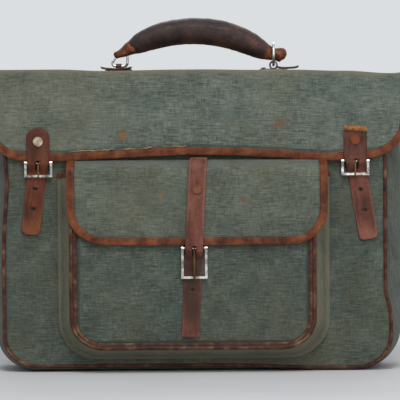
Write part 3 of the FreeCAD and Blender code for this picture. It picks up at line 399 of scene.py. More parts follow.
def bent_grid(columns, rows, place, closed=False, outward=None):
    """A flat grid laid by place(u, v), which gives a point in millimetres, the cloth's own two
    measures in millimetres and its rub: wear where positive, painted shade where negative. A closed grid
    is joined along u = 0 and u = 1."""
    work = bmesh.new()
    pattern = work.loops.layers.uv.new("cut")
    rub = work.verts.layers.float.new("rub")
    bmesh.ops.create_grid(work, x_segments=columns, y_segments=rows, size=0.5)
    flat = {}
    for vert in work.verts:
        point, measures, wear_and_shade = place(vert.co.x + 0.5, vert.co.y + 0.5)
        vert.co = Vector(point) * MM
        vert[rub] = wear_and_shade
        flat[vert] = Vector(measures) * MM
    for face in work.faces:
        for loop in face.loops:
            loop[pattern].uv = flat[loop.vert]
    if closed:
        bmesh.ops.remove_doubles(work, verts=work.verts, dist=0.00002)
    work.normal_update()
    if outward is not None:
        leaning = sum(face.normal.dot(Vector(outward(face.calc_center_median() / MM)))
                      for face in work.faces)
        if leaning < 0:
            bmesh.ops.reverse_faces(work, faces=work.faces)
    return work


def tube(columns, rows, place):
    """A grid joined along its length, with both of its ends filled."""
    work = bent_grid(columns, rows, place, closed=True)
    bmesh.ops.holes_fill(work, edges=work.edges, sides=0)
    bmesh.ops.recalc_face_normals(work, faces=work.faces)
    return work


def cut_size(mesh_maker):
    """The flat cut's width, length and area, in metres."""
    pattern = mesh_maker.loops.layers.uv["cut"]
    area = 0
    spots = []
    for face in mesh_maker.faces:
        corners = [loop[pattern].uv for loop in face.loops]
        spots += [corner.copy() for corner in corners]
        area += abs(sum(a.x * b.y - b.x * a.y for a, b in zip(corners, corners[1:] + corners[:1])))
    width = max(s.x for s in spots) - min(s.x for s in spots)
    length = max(s.y for s in spots) - min(s.y for s in spots)
    return (width, length), area / 2


def thicken(piece, thickness):
    """Gives a sheet that thickness in millimetres, behind its outer face."""
    wall = piece.modifiers.new("thickness", "SOLIDIFY")
    wall.thickness = thickness * MM
    wall.offset = -1
    settle(piece)


def cloth(name, work, thickness, finish, body=None, stands_for=()):
    """A sheet of canvas with its flat cut, attached to its body, made that thick and put in place of the
    nodes it stands for.
    """
    flat, area = cut_size(work)
    piece = made(work, name, finish, body, stands_for)
    thicken(piece, thickness)
    return piece


class Rim:
    """A line down a panel's left side, round its rounded corners and up its right side."""

    def __init__(self, half, bottom, top, corner):
        self.half, self.bottom, self.top, self.corner = half, bottom, top, corner
        self.side = top - bottom - corner
        self.turn = corner * math.pi / 2
        self.length = 2 * self.side + 2 * self.turn + 2 * (half - corner)

    def at(self, share):
        """The point, the outward direction and the distance along, at a share of the line."""
        gone = share * self.length
        flip = gone > self.length / 2
        left = self.length - gone if flip else gone
        if left < self.side:
            x, z, out = -self.half, self.top - left, (-1, 0)
        elif left < self.side + self.turn:
            angle = (left - self.side) / self.corner
            out = (-math.cos(angle), -math.sin(angle))
            x = -self.half + self.corner + out[0] * self.corner
            z = self.bottom + self.corner + out[1] * self.corner
        else:
            x, z, out = -self.half + self.corner + left - self.side - self.turn, self.bottom, (0, -1)
        if flip:
            x, out = -x, (-out[0], out[1])
        return x, z, out, gone


def rounded_row(v, half, bottom, top, corner):
    """Height and half width of a panel's row; rows crowd together round its lower corners."""
    share = 0.22
    if v < share:
        angle = v / share * math.pi / 2
        return bottom + corner * (1 - math.cos(angle)), half - corner * (1 - math.sin(angle))
    return bottom + corner + (v - share) / (1 - share) * (top - bottom - corner), half


# -------- the soft box

def top_sag(x):
    """How far the flap's top stands above or below its flat place, across the bag."""
    return (1.7 * (1 - ease(x, -140, -95)) + 0.9 * ease(x, -90, -20) * (1 - ease(x, 5, 60))
            - 1.4 * ease(x, 96, 145) - 2.8 * ease(x, 148, 196))


def under_flap(x, z, room=0.0):
    """The height of a wall's cloth, kept clear of the sagging flap above it."""
    drop = max(-top_sag(x), 0) + room
    return z - drop * ease(z, 225, 296)


def seam_bow(x, z):
    """The front seams lean in where the sides are slack."""
    right = -5.5 * ease(z, 52, 84) * ease(x, 130, 190)
    left = 3.6 * hill(z, 189, 34) * ease(-x, 130, 190)
    return right + left


def on_pocket(x, y, z):
    """The filled pocket hangs a little to the left and stands clear of the base."""
    left = POCKET_LEFT - 2.0 * ease(-x, 122, 136)
    return x - left, y, z + POCKET_UP * (1 - ease(z, 12, 70))


def wall(name, node, front):
    """One of the bag's two big panels: the front a little dented, the back swelling out."""
    low, high = reach(node)
    half, bottom, top = high.x, low.z, high.z
    out = low.y if front else high.y
    facing = -1 if front else 1

    def place(u, v):
        z, wide = rounded_row(v, half, bottom, top, PANEL_CORNER)
        x = (2 * u - 1) * wide
        edge = ease(half - abs(x), 0, 25) * ease(z - bottom, 0, 25)
        if front:
            dent = 0.55 + 0.45 * wander(x, z, 2.0, 55)
            y = out - facing * dent * edge * 0.9
        else:
            swell = 3.4 * edge * ease(half - abs(x), 0, 120) * ease(top - z, 0, 90)
            y = out + facing * (swell + 0.9 * edge * wander(x, z, 7.0, 60))
        x += seam_bow(x, z) if front else 0
        z = under_flap(x, z, 2.4 if front else 0.5)
        low_rub = 0.45 * (1 - ease(z - bottom, 2, 14)) + 0.3 * (1 - ease(half - abs(x), 2, 9))
        return (x, y, z), (x, z), low_rub
    work = bent_grid(130, 110, place, outward=lambda p: (0, facing, 0))
    cloth(name, work, 1.6, WALL_CANVAS, "bag", (node,))


def gusset_cloth():
    """The strip of canvas down both sides and along the base; its sides fold in at the middle."""
    high = reach("gusset")[1]
    panel_low, panel_high = reach("front_piping")
    seam_half = panel_high.x - 2
    seam_bottom = panel_low.z + 2
    depth = high.y

    def place(u, v):
        y = (2 * v - 1) * depth
        swell = 1 - abs(y / depth) ** 2.6
        rim = Rim(seam_half + (high.x - seam_half) * swell, seam_bottom * (1 - swell),
                  high.z, 33 + 5 * swell)
        x, z, out, gone = rim.at(u)
        upright = ease(z, 20, 70)
        give = swell * upright * (wander(y, z, 3.0 + (x > 0), 42) * 2.6 - 0.6)
        if x > 0:
            give += 4.5 * swell * ease(z, 14, 60) * (1 - ease(z, 230, 290))
        fold = -3.4 * swell * hill(y, 0, 9) * ease(z, 120, 290)
        x += out[0] * (give + fold)
        z += out[1] * give if upright < 1 else 0
        rub = 0.6 * (1 - ease(z, 2, 16)) + 0.5 * (1 - ease(depth - abs(y), 1, 6))
        x += seam_bow(x, z) * (1 - swell) * (y < 0)
        z = under_flap(x, z, 2.0)
        return (x, y, max(z, 0.02)), (gone, y), rub
    work = bent_grid(300, 34, place, outward=lambda p: (p.x * 0.4, 0, p.z - 150))
    cloth("gusset_cloth", work, 1.6, WALL_CANVAS, "bag", ("gusset",))


def bead(name, node, corner, y, radius=2.0, raised=0.0, tail=0.0):
    """Leather folded round a cord in a seam; raised lifts its bottom run, and tail is the width
    of the flat leather left showing inside the cord."""
    low, high = reach(node)
    rim = Rim(high.x - radius, low.z + radius, high.z, corner)

    def place(u, v):
        x, z, out, gone = rim.at(v)
        angle = u * math.tau
        waver = 1 + 0.06 * wander(gone, 0, 5.0, 14)
        side = math.cos(angle) * (radius + tail / 2) * waver - tail / 2
        face = math.sin(angle) * radius * waver
        groove = hill(side + radius, 0.4, 0.7) if tail else 0
        flat = ease(-side, radius - 0.8, radius + 0.6) if tail else 0
        face *= 1 - 0.4 * flat - 0.6 * groove
        rub = 0.25 + 0.75 * hill(angle, UNDERSIDE, 0.9)
        bend = 2 * abs(out[1] * out[0]) * (1.0 if x < 0 else 0.65)
        patch = ease(0.5 * wander(gone, 4, 5.0, 19) + bend, 0.3, 0.85)
        # The bottom run is made a little darker; the groove between the cord and its flat leather is
        # darkened strongly as painted shade.
        under = 0.35 * ease(-out[1], 0.2, 1.0) + 1.4 * groove - (0.35 if tail else 0)
        x += seam_bow(x, z) if raised else 0
        z = under_flap(x, z, 2.4) + raised * ease(-out[1], 0, 1) * (1 - ease(x, 20, 130))
        if tail:
            x, _, z = on_pocket(x, y, z)
        return ((x + out[0] * side, y + face, z + out[1] * side), (angle * radius, gone),
                rub * patch - 0.15 - under)
    work = tube(24 if tail else 14, 260, place)
    made(work, name, PIPING, "bag", (node,))


def folded_edge(name, node):
    """Leather folded over an open edge and stitched through."""
    low, high = reach(node)
    middle = (low.y + high.y) / 2
    half = (high.y - low.y) / 2
    height = high.z - low.z
    bent = half * 1.57

    def place(u, v):
        x = low.x + v * (high.x - low.x)
        run = (u - 0.5) * 2 * (height + 1)
        if abs(run) < bent:
            angle = run / half
            y, z = middle + half * math.sin(angle), high.z - half + half * math.cos(angle)
        else:
            y = middle + math.copysign(half, run)
            z = high.z - half - (abs(run) - bent) * (height - half) / (height + 1 - bent)
        y += wander(x, run, 8.0, 20) * 0.15
        if name == "mouth_hem_leather":
            z = under_flap(x, z, 2.4)
        else:
            x, y, z = on_pocket(x, y, z)
        return (x, y, z), (height - 5 - abs(run), x), 0.6 * hill(run, 0, 2.5)
    work = bent_grid(18, 120, place, outward=lambda p: (0, p.y - middle, (p.z - low.z) * 0.3))
    piece = made(work, name, BINDING, "bag", (node,))
    thicken(piece, 1.0)


# -------- the flaps

class Drape:
    """A flap's surface along a line in the Y-Z plane. run is measured on the cloth from the line's
    start; a point is lifted off the surface by height, and sags and lifts move it further."""

    def __init__(self, line, across_sag, face_lift):
        self.line, self.across_sag, self.face_lift = line, across_sag, face_lift
        self.lengths = [0]
        for first, second in zip(line, line[1:]):
            self.lengths.append(self.lengths[-1] + (second - first).length)

    def at(self, x, run, height=0.0):
        run = min(max(run, 0), self.lengths[-1] - 0.001)
        index = next(i for i in range(1, len(self.lengths)) if self.lengths[i] > run) - 1
        share = (run - self.lengths[index]) / (self.lengths[index + 1] - self.lengths[index])
        first, second = self.line[index], self.line[index + 1]
        here = first.lerp(second, share)
        ahead = (second - first).normalized()
        if index + 2 < len(self.line):
            ahead = ahead.lerp((self.line[index + 2] - second).normalized(), share).normalized()
        out = Vector((0, ahead.z, -ahead.y))
        here = here + out * height
        down = min(max(-out.y, 0), 1)
        up = min(max(out.z, 0), 1)
        return Vector((x, here.y - self.face_lift(x, here.z) * down,
                       here.z + self.across_sag(x) * max(up, ease(here.z, 240, 300))))


def smooth_line(corners, radius, step=2.0):
    """Points along straight runs with rounded corners, in the Y-Z plane."""
    points = [corners[0]]
    for before, corner, after in zip(corners, corners[1:], corners[2:]):
        into = (corner - before).normalized()
        away = (after - corner).normalized()
        bend = into.angle(away)
        cut = min(radius * math.tan(bend / 2), (corner - before).length * 0.48,
                  (after - corner).length * 0.48)
        start, end = corner - into * cut, corner + away * cut
        points.append(start)
        for i in range(1, 6):
            t = i / 6
            points.append(start.lerp(corner, t).lerp(corner.lerp(end, t), t))
        points.append(end)
    points.append(corners[-1])
    dense = [points[0]]
    for first, second in zip(points, points[1:]):
        count = max(1, int((second - first).length / step))
        dense += [first.lerp(second, (i + 1) / count) for i in range(count)]
    return dense


def edge_strip(name, drape, path, steps, width, thick, finish, seed, fray=0.5):
    """Leather folded round a flap's edge: a flat rounded strip that follows path(share), which
    gives x, run, the outward direction on the cloth and the distance along."""
    def place(u, v):
        x, run, out, gone = path(v)
        angle = u * math.tau
        ragged = 1 + fray * 0.16 * wander(gone, 0, seed, 6) * max(-math.cos(angle), 0)
        a, b = math.cos(angle), math.sin(angle)
        across = width / 2 * squared(a, 0.55) * ragged
        lift = thick / 2 * squared(b, 0.7)
        lift += 0.12 * wander(gone, across, seed + 3, 9)
        point = drape.at(x + out[0] * across, run + out[1] * across, lift - 1.0)
        rub = 0.15 + 0.5 * hill(across, width / 2, 1.1)
        rub += 0.45 * wander(gone, 1, seed, 26)
        # The leather's inner edge, where it meets the canvas, is darkened: painted shade.
        rub -= 0.9 * hill(across, -width / 2, 1.0)
        return point, (across, gone), rub
    work = tube(20, steps, place)
    return made(work, name, finish, None)


def edge_path(rim, whole, scallop, level):
    """The path of a flap's edge, which wavers by scallop(x) and is straight above that level."""
    def path(share):
        x, z, out, gone = rim.at(share)
        run = whole - SPARE - z - scallop(x) * (1 - ease(z, 4, level))
        return x, run, (out[0], -out[1]), gone
    return path


def main_flap():
    """The big flap's two sheets of canvas, the leather round their edges and two loose threads."""
    fray_start, fray_length = -128, 116
    top_high = reach("flap_top")[1]
    low = reach("flap_front")[0]
    edge_low, edge_high = reach("flap_front_binding")
    half, edge, corner = edge_high.x, edge_low.z, 39

    def lift(x, z):
        under_strap = min(abs(abs(x) - 158) / 28, 1)
        middle = hill(x, 0, 75)
        loose = 1 - ease(z, edge, 285)
        return loose * under_strap * (1.6 * middle + 0.9 * wander(x, z, 4.0, 70) + 0.3)
    corners = [Vector((0, top_high.y, 284)), Vector((0, top_high.y, top_high.z - 0.2)),
               Vector((0, low.y, top_high.z)), Vector((0, low.y, edge - SPARE))]
    line = smooth_line(corners, 5.5)
    drape = Drape(line, top_sag, lift)
    whole = drape.lengths[-1]
    back_run = corners[1].z - corners[0].z
    middle_run = back_run - 2.5 + top_high.y

    def scallop(x):
        return (3.9 * hill(x, 0, 72) - 2.6 * hill(x, 128, 34) - 1.4 * hill(x, -142, 36)
                + 1.2 * ease(x, 158, 200) + 0.45 * wander(x, 0, 6.0, 18))

    def wear_and_shade(x, run):
        fold_run = whole - (top_high.z - edge + SPARE)
        fold = hill(run, fold_run, 6.5)
        # seam is a dark band on the canvas along the leather's inner edge: painted shade.
        seam = hill(whole - run - SPARE - 9.6, scallop(x), 1.6)
        return (fold * (0.8 + 0.3 * wander(x, 0, 1.0, 30))
                + 0.25 * (1 - ease(half - abs(x), 9, 16)) - 0.8 * seam)

    def top_place(u, v):
        x = (2 * u - 1) * (half - TUCK)
        run = v * middle_run
        return drape.at(x, run), (x, run), wear_and_shade(x, run)

    face_run = whole - SPARE - middle_run - TUCK

    def face_place(u, v):
        drop, wide = rounded_row(1 - v, half - TUCK, 0, face_run, corner - TUCK)
        x = (2 * u - 1) * wide
        run = middle_run + face_run - drop - scallop(x) * (1 - ease(drop, 0, 60))
        dimple = 0.35 * wander(x, run, 9.0, 34) * ease(run, middle_run + 70, middle_run + 90)
        return drape.at(x, run, dimple - 0.3), (x, run), wear_and_shade(x, run)
    top = bent_grid(140, 60, top_place, outward=lambda p: (0, 0.2, 1))
    face = bent_grid(150, 110, face_place, outward=lambda p: (0, -1, 0.4))
    top = cloth("flap_top_cloth", top, 1.5, FLAP_CANVAS, None, ("flap_top",))
    face = cloth("flap_face_cloth", face, 1.5, FLAP_CANVAS, None, ("flap_front",))

    rim = Rim(half - INSET, INSET, face_run + TUCK, corner - INSET)
    strip = edge_strip("flap_face_binding", drape, edge_path(rim, whole, scallop, 60), 520,
                       BINDING_WIDE, 3.2, BINDING, 2.0)
    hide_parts("flap_front_binding")

    for side, word in SIDES:
        def top_path(share):
            run = 1.5 + share * (middle_run - 1.5)
            return side * (half - INSET), run, (side, 0), run
        border = edge_strip("flap_top_binding_" + word, drape, top_path, 46, BINDING_WIDE, 3.0,
                            BINDING, 3.0 + side)
        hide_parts("flap_top_binding")
        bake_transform(border)
    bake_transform(top)
    for piece in (face, strip):
        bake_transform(piece)

    def stray(share, row):
        x = fray_start + share * fray_length + row * 2
        run = whole - SPARE - 8.9 - scallop(x) + 0.9 * wander(x, row, 5.5, 3.5) - row * 0.5
        return drape.at(x, run, 0.35 + 0.5 * wander(x, row, 1.5, 4))
    for row in range(2):
        def fray_place(u, v):
            centre = stray(v, row)
            angle = u * math.tau
            thin = 0.08 + 0.55 * ease(wander(v * 400, row * 9, 2.2, 24), -0.25, 0.5)
            return (centre + Vector((0, math.sin(angle) * thin, math.cos(angle) * thin)),
                    (angle, v * fray_length), 0)
        work = tube(6, 150, fray_place)
        made(work, "frayed_thread_%d" % row, THREAD, "flap_front")


# -------- the pocket

def pocket_front_cloth():
    """The pocket's front sheet, its edge darkened with painted shade beside and under the leather piping.
    """
    low, high = reach("pocket_front")
    half = high.x + 1

    def place(u, v):
        z, wide = rounded_row(v, half, low.z - 1, high.z - 1, PANEL_CORNER)
        x = (2 * u - 1) * wide
        edge = ease(half - abs(x), 0, 22) * ease(z - low.z, 0, 22)
        y = low.y + 0.3 - edge * (0.9 * wander(x, z, 12.0, 48) + 0.5)
        inset = min(half - abs(x), z - low.z + 1)
        # Negative rub along the edge: painted shade beside the piping.
        return on_pocket(x, y, z), (x, z), -0.8 * (1 - ease(inset, 5.5, 9))
    work = bent_grid(110, 90, place, outward=lambda p: (0, -1, 0))
    cloth("pocket_front_cloth", work, 1.3, WALL_CANVAS, "bag", ("pocket_front",))


def pocket_gusset_cloth():
    """The pocket's sides and base, its seam to the bag and the two caps on its upper ends."""
    low, high = reach("pocket_gusset")
    face_low, face_high = reach("pocket_front")
    face_half = face_high.x + 2
    base = -high.y

    def place(u, share):
        depth = -low.y - share * (-low.y - base)
        puff = math.sin(share * math.pi)
        splay = share ** 1.25
        rim = Rim(face_half + (high.x - face_half) * splay, face_low.z - 2
                  - (face_low.z - 2 - low.z) * splay, high.z, 32 + 8 * splay)
        x, z, out, gone = rim.at(u)
        give = puff * (1.2 + 1.5 * wander(gone, share * 20, 3.0, 30))
        ridge = 1.1 * hill(share, 0.9, 0.05) + 0.8 * hill(share, 0.08, 0.05)
        x += out[0] * (give + ridge)
        z += out[1] * (give + ridge)
        rub = 0.3 + 0.45 * max(hill(share, 0.9, 0.08), hill(share, 0.3, 0.16))
        # Darker in a band two thirds of the way to the wall, and painted shade along the edge at the
        # pocket's piping.
        rub -= 0.8 * hill(share, 0.68, 0.06) + 0.7 * hill(share, 0, 0.05)
        return on_pocket(x, -depth, z), (gone, share * 31), rub
    work = bent_grid(260, 26, place, outward=lambda p: (p.x, 0, p.z - 150))
    cloth("pocket_gusset_cloth", work, 1.3, EDGE_CANVAS, "bag", ("pocket_gusset",))
    rim = Rim(high.x - 0.6, low.z + 0.6, high.z, 40)

    def seam(u, v):
        x, z, out, gone = rim.at(v)
        angle = u * math.tau
        thick = 1.5 * (1 + 0.12 * wander(gone, 0, 9.0, 8))
        a, b = math.cos(angle) * thick * 1.5, math.sin(angle) * thick
        point = on_pocket(x + out[0] * (a - 0.6), -base - 1.0 + b, z + out[1] * (a - 0.6))
        return point, (angle * 1.5, gone), 0.75
    work = tube(12, 260, seam)
    made(work, "pocket_seam_roll", EDGE_CANVAS, "bag")

    for side, word in SIDES:
        def cap(u, v):
            angle = u * math.tau
            depth = -low.y - v * (-low.y - base - 1)
            x = side * (face_half + (high.x - face_half) * v ** 1.25)
            a, b = math.cos(angle), math.sin(angle)
            thick = 1.7 * squared(a, 0.8)
            tall = 3.0 * squared(b, 0.7) + 0.2 * wander(v * 30, 0, 2.0, 6)
            return (on_pocket(x + thick, -depth, high.z - 1.0 + tall), (tall, v * 30),
                    0.35 * (b > 0.5))
        work = tube(16, 24, cap)
        made(work, "pocket_gusset_cap_" + word, BINDING, "bag")


def pocket_flap():
    """The pocket's flap, bent over the pocket's upper edge, with leather round its edge."""
    root_high = reach("pocket_flap_root")[1]
    low, high = reach("pocket_flap")
    edge_low, edge_high = reach("pocket_flap_binding")
    half, edge, corner = edge_high.x, edge_low.z, 37

    def lift(x, z):
        loose = 1 - ease(z, edge, 190)
        beside = min(abs(x) / 24, 1)
        return loose * beside * (0.9 * wander(x, z, 14.0, 60) + 0.4 * math.cos(x / 34))
    corners = [Vector((0, root_high.y - 0.6, root_high.z + 1.8)),
               Vector((0, -66, root_high.z - 0.4)),
               Vector((0, low.y, high.z + 2.2)),
               Vector((0, low.y, edge - SPARE))]
    line = smooth_line(corners, 13.0)
    drape = Drape(line, lambda x: 0.0, lift)
    whole = drape.lengths[-1]
    length = whole - (SPARE + TUCK)

    def scallop(x):
        return 0.9 * hill(x, -110, 26) + 0.4 * wander(x, 0, 16.0, 22)

    def place(u, v):
        drop, wide = rounded_row(1 - v, half - TUCK, 0, length, corner - TUCK)
        x = (2 * u - 1) * wide
        run = length - drop - scallop(x) * (1 - ease(drop, 0, 50))
        inset = min(half - TUCK - abs(x), drop)
        # Worn paler near the edge; the dark line just inside the leather edge is painted shade.
        rub = 0.35 * (1 - ease(inset, 8, 16)) - 0.9 * hill(inset, 6.4, 1.3)
        return drape.at(x, run, 0.3 * wander(x, run, 19.0, 30) - 0.3), (x, run), rub
    work = bent_grid(120, 80, place, outward=lambda p: (0, -1, 0.3))
    face = cloth("pocket_flap_cloth", work, 1.3, POCKET_FLAP_CANVAS, None,
                 ("pocket_flap", "pocket_flap_root"))
    rim = Rim(half - INSET, INSET, whole - 9, corner - INSET)
    strip = edge_strip("pocket_flap_edge", drape, edge_path(rim, whole, scallop, 50), 380,
                       8.2, 3.0, BINDING, 12.0, 0.35)
    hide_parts("pocket_flap_binding")
    for piece in (face, strip):
        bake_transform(piece)


# -------- straps

def leather_strip(total, centre, across_way, half_width, rub, ends, rows=170):
    """A flat strip with rounded edges along centre(run); its ends are rounded by those radii, and
    its rows crowd together in that share of its length at each end."""
    crowded = 0.06

    def place(u, v):
        run = v * total
        if v < crowded:
            run = (v / crowded) ** 1.6 * crowded * total
        if v > 1 - crowded:
            run = total - ((1 - v) / crowded) ** 1.6 * crowded * total
        wide = half_width(run) + 0.2 * wander(run, 0, 21.0, 12)
        for gone, radius in ((run, ends[0]), (total - run, ends[1])):
            if radius and gone < radius:
                wide -= (1 - math.sqrt(1 - (1 - gone / radius) ** 2)) * radius
        wide = max(wide, 1.2)
        angle = u * math.tau
        a, b = math.cos(angle), math.sin(angle)
        across = wide * squared(a, 0.45)
        thin = 0.35 if min(run, total - run) < 0.4 else 1.0
        lift = thin * squared(b, 0.5)
        way = across_way(run)
        ahead = (centre(run + 0.5) - centre(run - 0.5)).normalized()
        out = way.cross(ahead).normalized()
        point = centre(run) + way * across + out * (lift + 0.35 * (across / wide) ** 2)
        edge_rub = 0.6 * ease(abs(across), wide - 2.4, wide)
        return point, (across, run), edge_rub + rub(run, across)
    return tube(28, rows, place)


def strap(side, slant, wide_head, wide_tail, head_top, tail_run, lean_head, rounds, spots):
    """One strip of leather from its riveted head over the flap's edge and through the buckle.
    slant is the tail's lean in degrees and lean_head the head's share of it; head_top and tail_run
    are its lengths above and below the edge; rounds are the radii of its ends and spots the
    places of its holes. The widths are halves."""
    head_low, head_high = reach("strap_head_" + side)
    tail_high = reach("strap_tail_" + side)[1]
    pin_low, pin_high = reach("buckle_pin_" + side)
    x0 = (pin_low.x + pin_high.x) / 2
    edge = head_low.z
    face = (head_low.y + head_high.y) / 2
    back = tail_high.y - 1.0
    total = head_top + tail_run
    lean = math.sin(math.radians(slant))
    upright = math.cos(math.radians(slant))

    def centre(run):
        gone = run - head_top
        if gone <= 0:
            y = face + 0.25 * wander(run, 0, 3.0, 40) * ease(run, 4, 20)
            return Vector((x0 + lean * gone * lean_head, y, edge - gone))
        y = face + (back - face) * ease(gone, 3.5, 15.0)
        curl = 1.3 * ease(gone, tail_run - 26, tail_run)
        return Vector((x0 + lean * gone, y - curl, edge - upright * gone))

    def across_way(run):
        tilt = lean * max(ease(run - head_top, 0, 12), lean_head)
        return Vector((math.sqrt(1 - tilt * tilt), 0, tilt))

    def half_width(run):
        return wide_head + (wide_tail - wide_head) * ease(run - head_top, -6, 14)

    def rub(run, across):
        gone = run - head_top
        tip = 0.65 * ease(gone, tail_run - 22, tail_run)
        if side == "center":
            return tip + 0.62 * (1 - ease(gone, -38, -10)) - 0.85 * ease(gone, -4, 26) * (1 - tip)
        return tip + 0.35 * ease(gone, 20, 40) - 0.35 * (1 - ease(gone, -4, 16))
    work = leather_strip(total, centre, across_way, half_width, rub, rounds)
    hide = STRAP if side == "left" else PINK_STRAP
    strip = made(work, "strap_" + side, hide, None,
                 ("strap_head_" + side, "strap_tail_" + side))
    punch = bmesh.new()
    for place_along, radius, longer in [PRONG_SLOT] + [(spot, STRAP_HOLE, 0) for spot in spots]:
        spot = centre(head_top + place_along)
        made_hole = bmesh.ops.create_cone(
            punch, cap_ends=True, segments=20, radius1=radius * MM, radius2=radius * MM,
            depth=0.012, matrix=Matrix.Translation(spot * MM) @ Matrix.Rotation(math.pi / 2, 4, "X"))
        for vert in made_hole["verts"]:
            vert.co.z += longer * MM * (1 if vert.co.z > spot.z * MM else -1) * 0.5
    # The holes' walls take the near-black finish: painted shade.
    holes = made(punch, "strap_punch", HOLE_SHADE)
    strip.data.materials.append(HOLE_SHADE)
    cut = strip.modifiers.new("holes", "BOOLEAN")
    cut.material_mode = "TRANSFER"
    cut.operation = "DIFFERENCE"
    cut.solver = "EXACT"
    cut.object = holes
    settle(strip)
    bpy.data.objects.remove(holes)
    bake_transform(strip)


def along(stations, share):
    """A smooth value between evenly spaced stations, each a tuple of numbers."""
    last = len(stations) - 1
    spot = min(max(share, 0), 0.99999) * last
    index = int(spot)
    t = spot - index
    near = [stations[min(max(index + step, 0), last)] for step in (-1, 0, 1, 2)]
    weights = (-t + 2 * t * t - t ** 3, 2 - 5 * t * t + 3 * t ** 3,
               t + 4 * t * t - 3 * t ** 3, -t * t + t ** 3)
    return [sum(w * value[i] for w, value in zip(weights, near)) / 2
            for i in range(len(stations[0]))]


def torn_lip():
    """The right strap's head is torn and curls over, showing raw leather."""
    low, high = reach("strap_head_right")
    middle = (low.x + high.x) / 2
    stations = [(middle, low.y - 0.3, high.z - 4.4), (middle + 0.4, low.y - 1.1, high.z - 3.4),
                (middle + 0.2, low.y - 1.3, high.z - 2.2), (middle, low.y - 0.2, high.z - 0.9),
                (middle - 0.2, low.y + 1.0, high.z - 0.6)]
    length = 8
    work = leather_strip(length, lambda run: Vector(along(stations, run / length)),
                         lambda run: Vector((0.995, 0, -0.07)),
                         lambda run: 11.0 + 0.8 * wander(run, 3, 1.0, 3),
                         lambda run, across: 0.6 * wander(across, run, 4.0, 4), (2.0, 1.0), 30)
    made(work, "torn_lip", TORN_LEATHER, "flap_front")


def center_strap_root():
    """The middle strap's upper end, laid over the pocket flap's fold and up under the flap."""
    head_low, head_high = reach("strap_head_center")
    half_width, length = 8.75, 44
    top = Vector((head_high.x - half_width, (head_low.y + head_high.y) / 2, head_high.z))
    stations = [(top.x + 1.4, -53.0, 214.0), (top.x + 1.1, -63.0, 213.6), (top.x + 0.7, -74.0, 212.6),
                (top.x + 0.3, -82.2, 209.6), (top.x, top.y, top.z - 0.5), (top.x - 0.3, top.y + 0.2, 198)]

    def centre(run):
        return Vector(along(stations, run / length))
    work = leather_strip(length, centre, lambda run: Vector((1, 0, 0)),
                         lambda run: half_width, lambda run, across: 0.62, (0, 0), 60)
    piece = made(work, "strap_center_root", PINK_STRAP, None)
    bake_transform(piece)


def softened(name, node, finish, body, voxel=0.55, rounds=4):
    """A cut and worn copy of a small leather part: merged, remeshed finely and smoothed round."""
    source = bpy.data.objects[node]
    work = bmesh.new()
    work.from_mesh(source.data)
    bmesh.ops.remove_doubles(work, verts=work.verts, dist=0.000002)
    for layer in list(work.loops.layers.uv):
        work.loops.layers.uv.remove(layer)
    piece = made(work, name, finish)
    skin = piece.modifiers.new("skin", "REMESH")
    skin.mode = "VOXEL"
    skin.voxel_size = voxel * MM
    soft = piece.modifiers.new("rub", "SMOOTH")
    soft.iterations = rounds
    settle(piece)
    work = bmesh.new()
    work.from_mesh(piece.data)
    pattern = work.loops.layers.uv.new("cut")
    rub = work.verts.layers.float.new("rub")
    for vert in work.verts:
        vert[rub] = min(max(vert.calc_shell_factor() - 1.0, 0) * 4, 1) * 0.8
        vert.co += vert.normal * 0.12 * MM * noise.noise(vert.co / (3 * MM))
    for face in work.faces:
        face.smooth = True
        for loop in face.loops:
            loop[pattern].uv = (loop.vert.co.x, loop.vert.co.z)
    work.to_mesh(piece.data)
    work.free()
    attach(piece, body)
    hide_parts(node)


# -------- the handle

def roll(name, stations, finish, body, nodes, rings=44, rows=120, wrinkles=1.0, seam=0.9):
    """A stuffed leather roll through evenly spaced stations, each its middle's x and z, its
    half height and its half depth; sewn along its underside."""
    lengths = [Vector(first[:2]) for first in stations]
    total = sum((b - a).length for a, b in zip(lengths, lengths[1:]))

    def place(u, v):
        x, z, high, deep = along(stations, v)
        ahead = [b - a for a, b in zip(along(stations, v - 0.01), along(stations, v + 0.01))]
        way = Vector((ahead[0], ahead[1])).normalized()
        angle = u * math.tau
        lip = seam * hill(angle, UNDERSIDE, 0.16)
        wrinkle = wrinkles * (0.35 * wander(v * total * 1.7, angle * 6, 3.0, 7)
                              + 0.3 * wander(v * total, angle * 9, 8.0, 18))
        up = (high + wrinkle + lip) * math.sin(angle)
        point = (x - way.y * up, (deep + wrinkle) * math.cos(angle), z + way.x * up)
        under = 0.6 * max(-math.sin(angle), 0) ** 1.5 - 0.45 * max(math.sin(angle), 0)
        return point, (angle * high, v * total), under + 0.5 * ease(abs(2 * v - 1), 0.72, 1.0)
    work = tube(rings, rows, place)
    return made(work, name, finish, body, nodes)


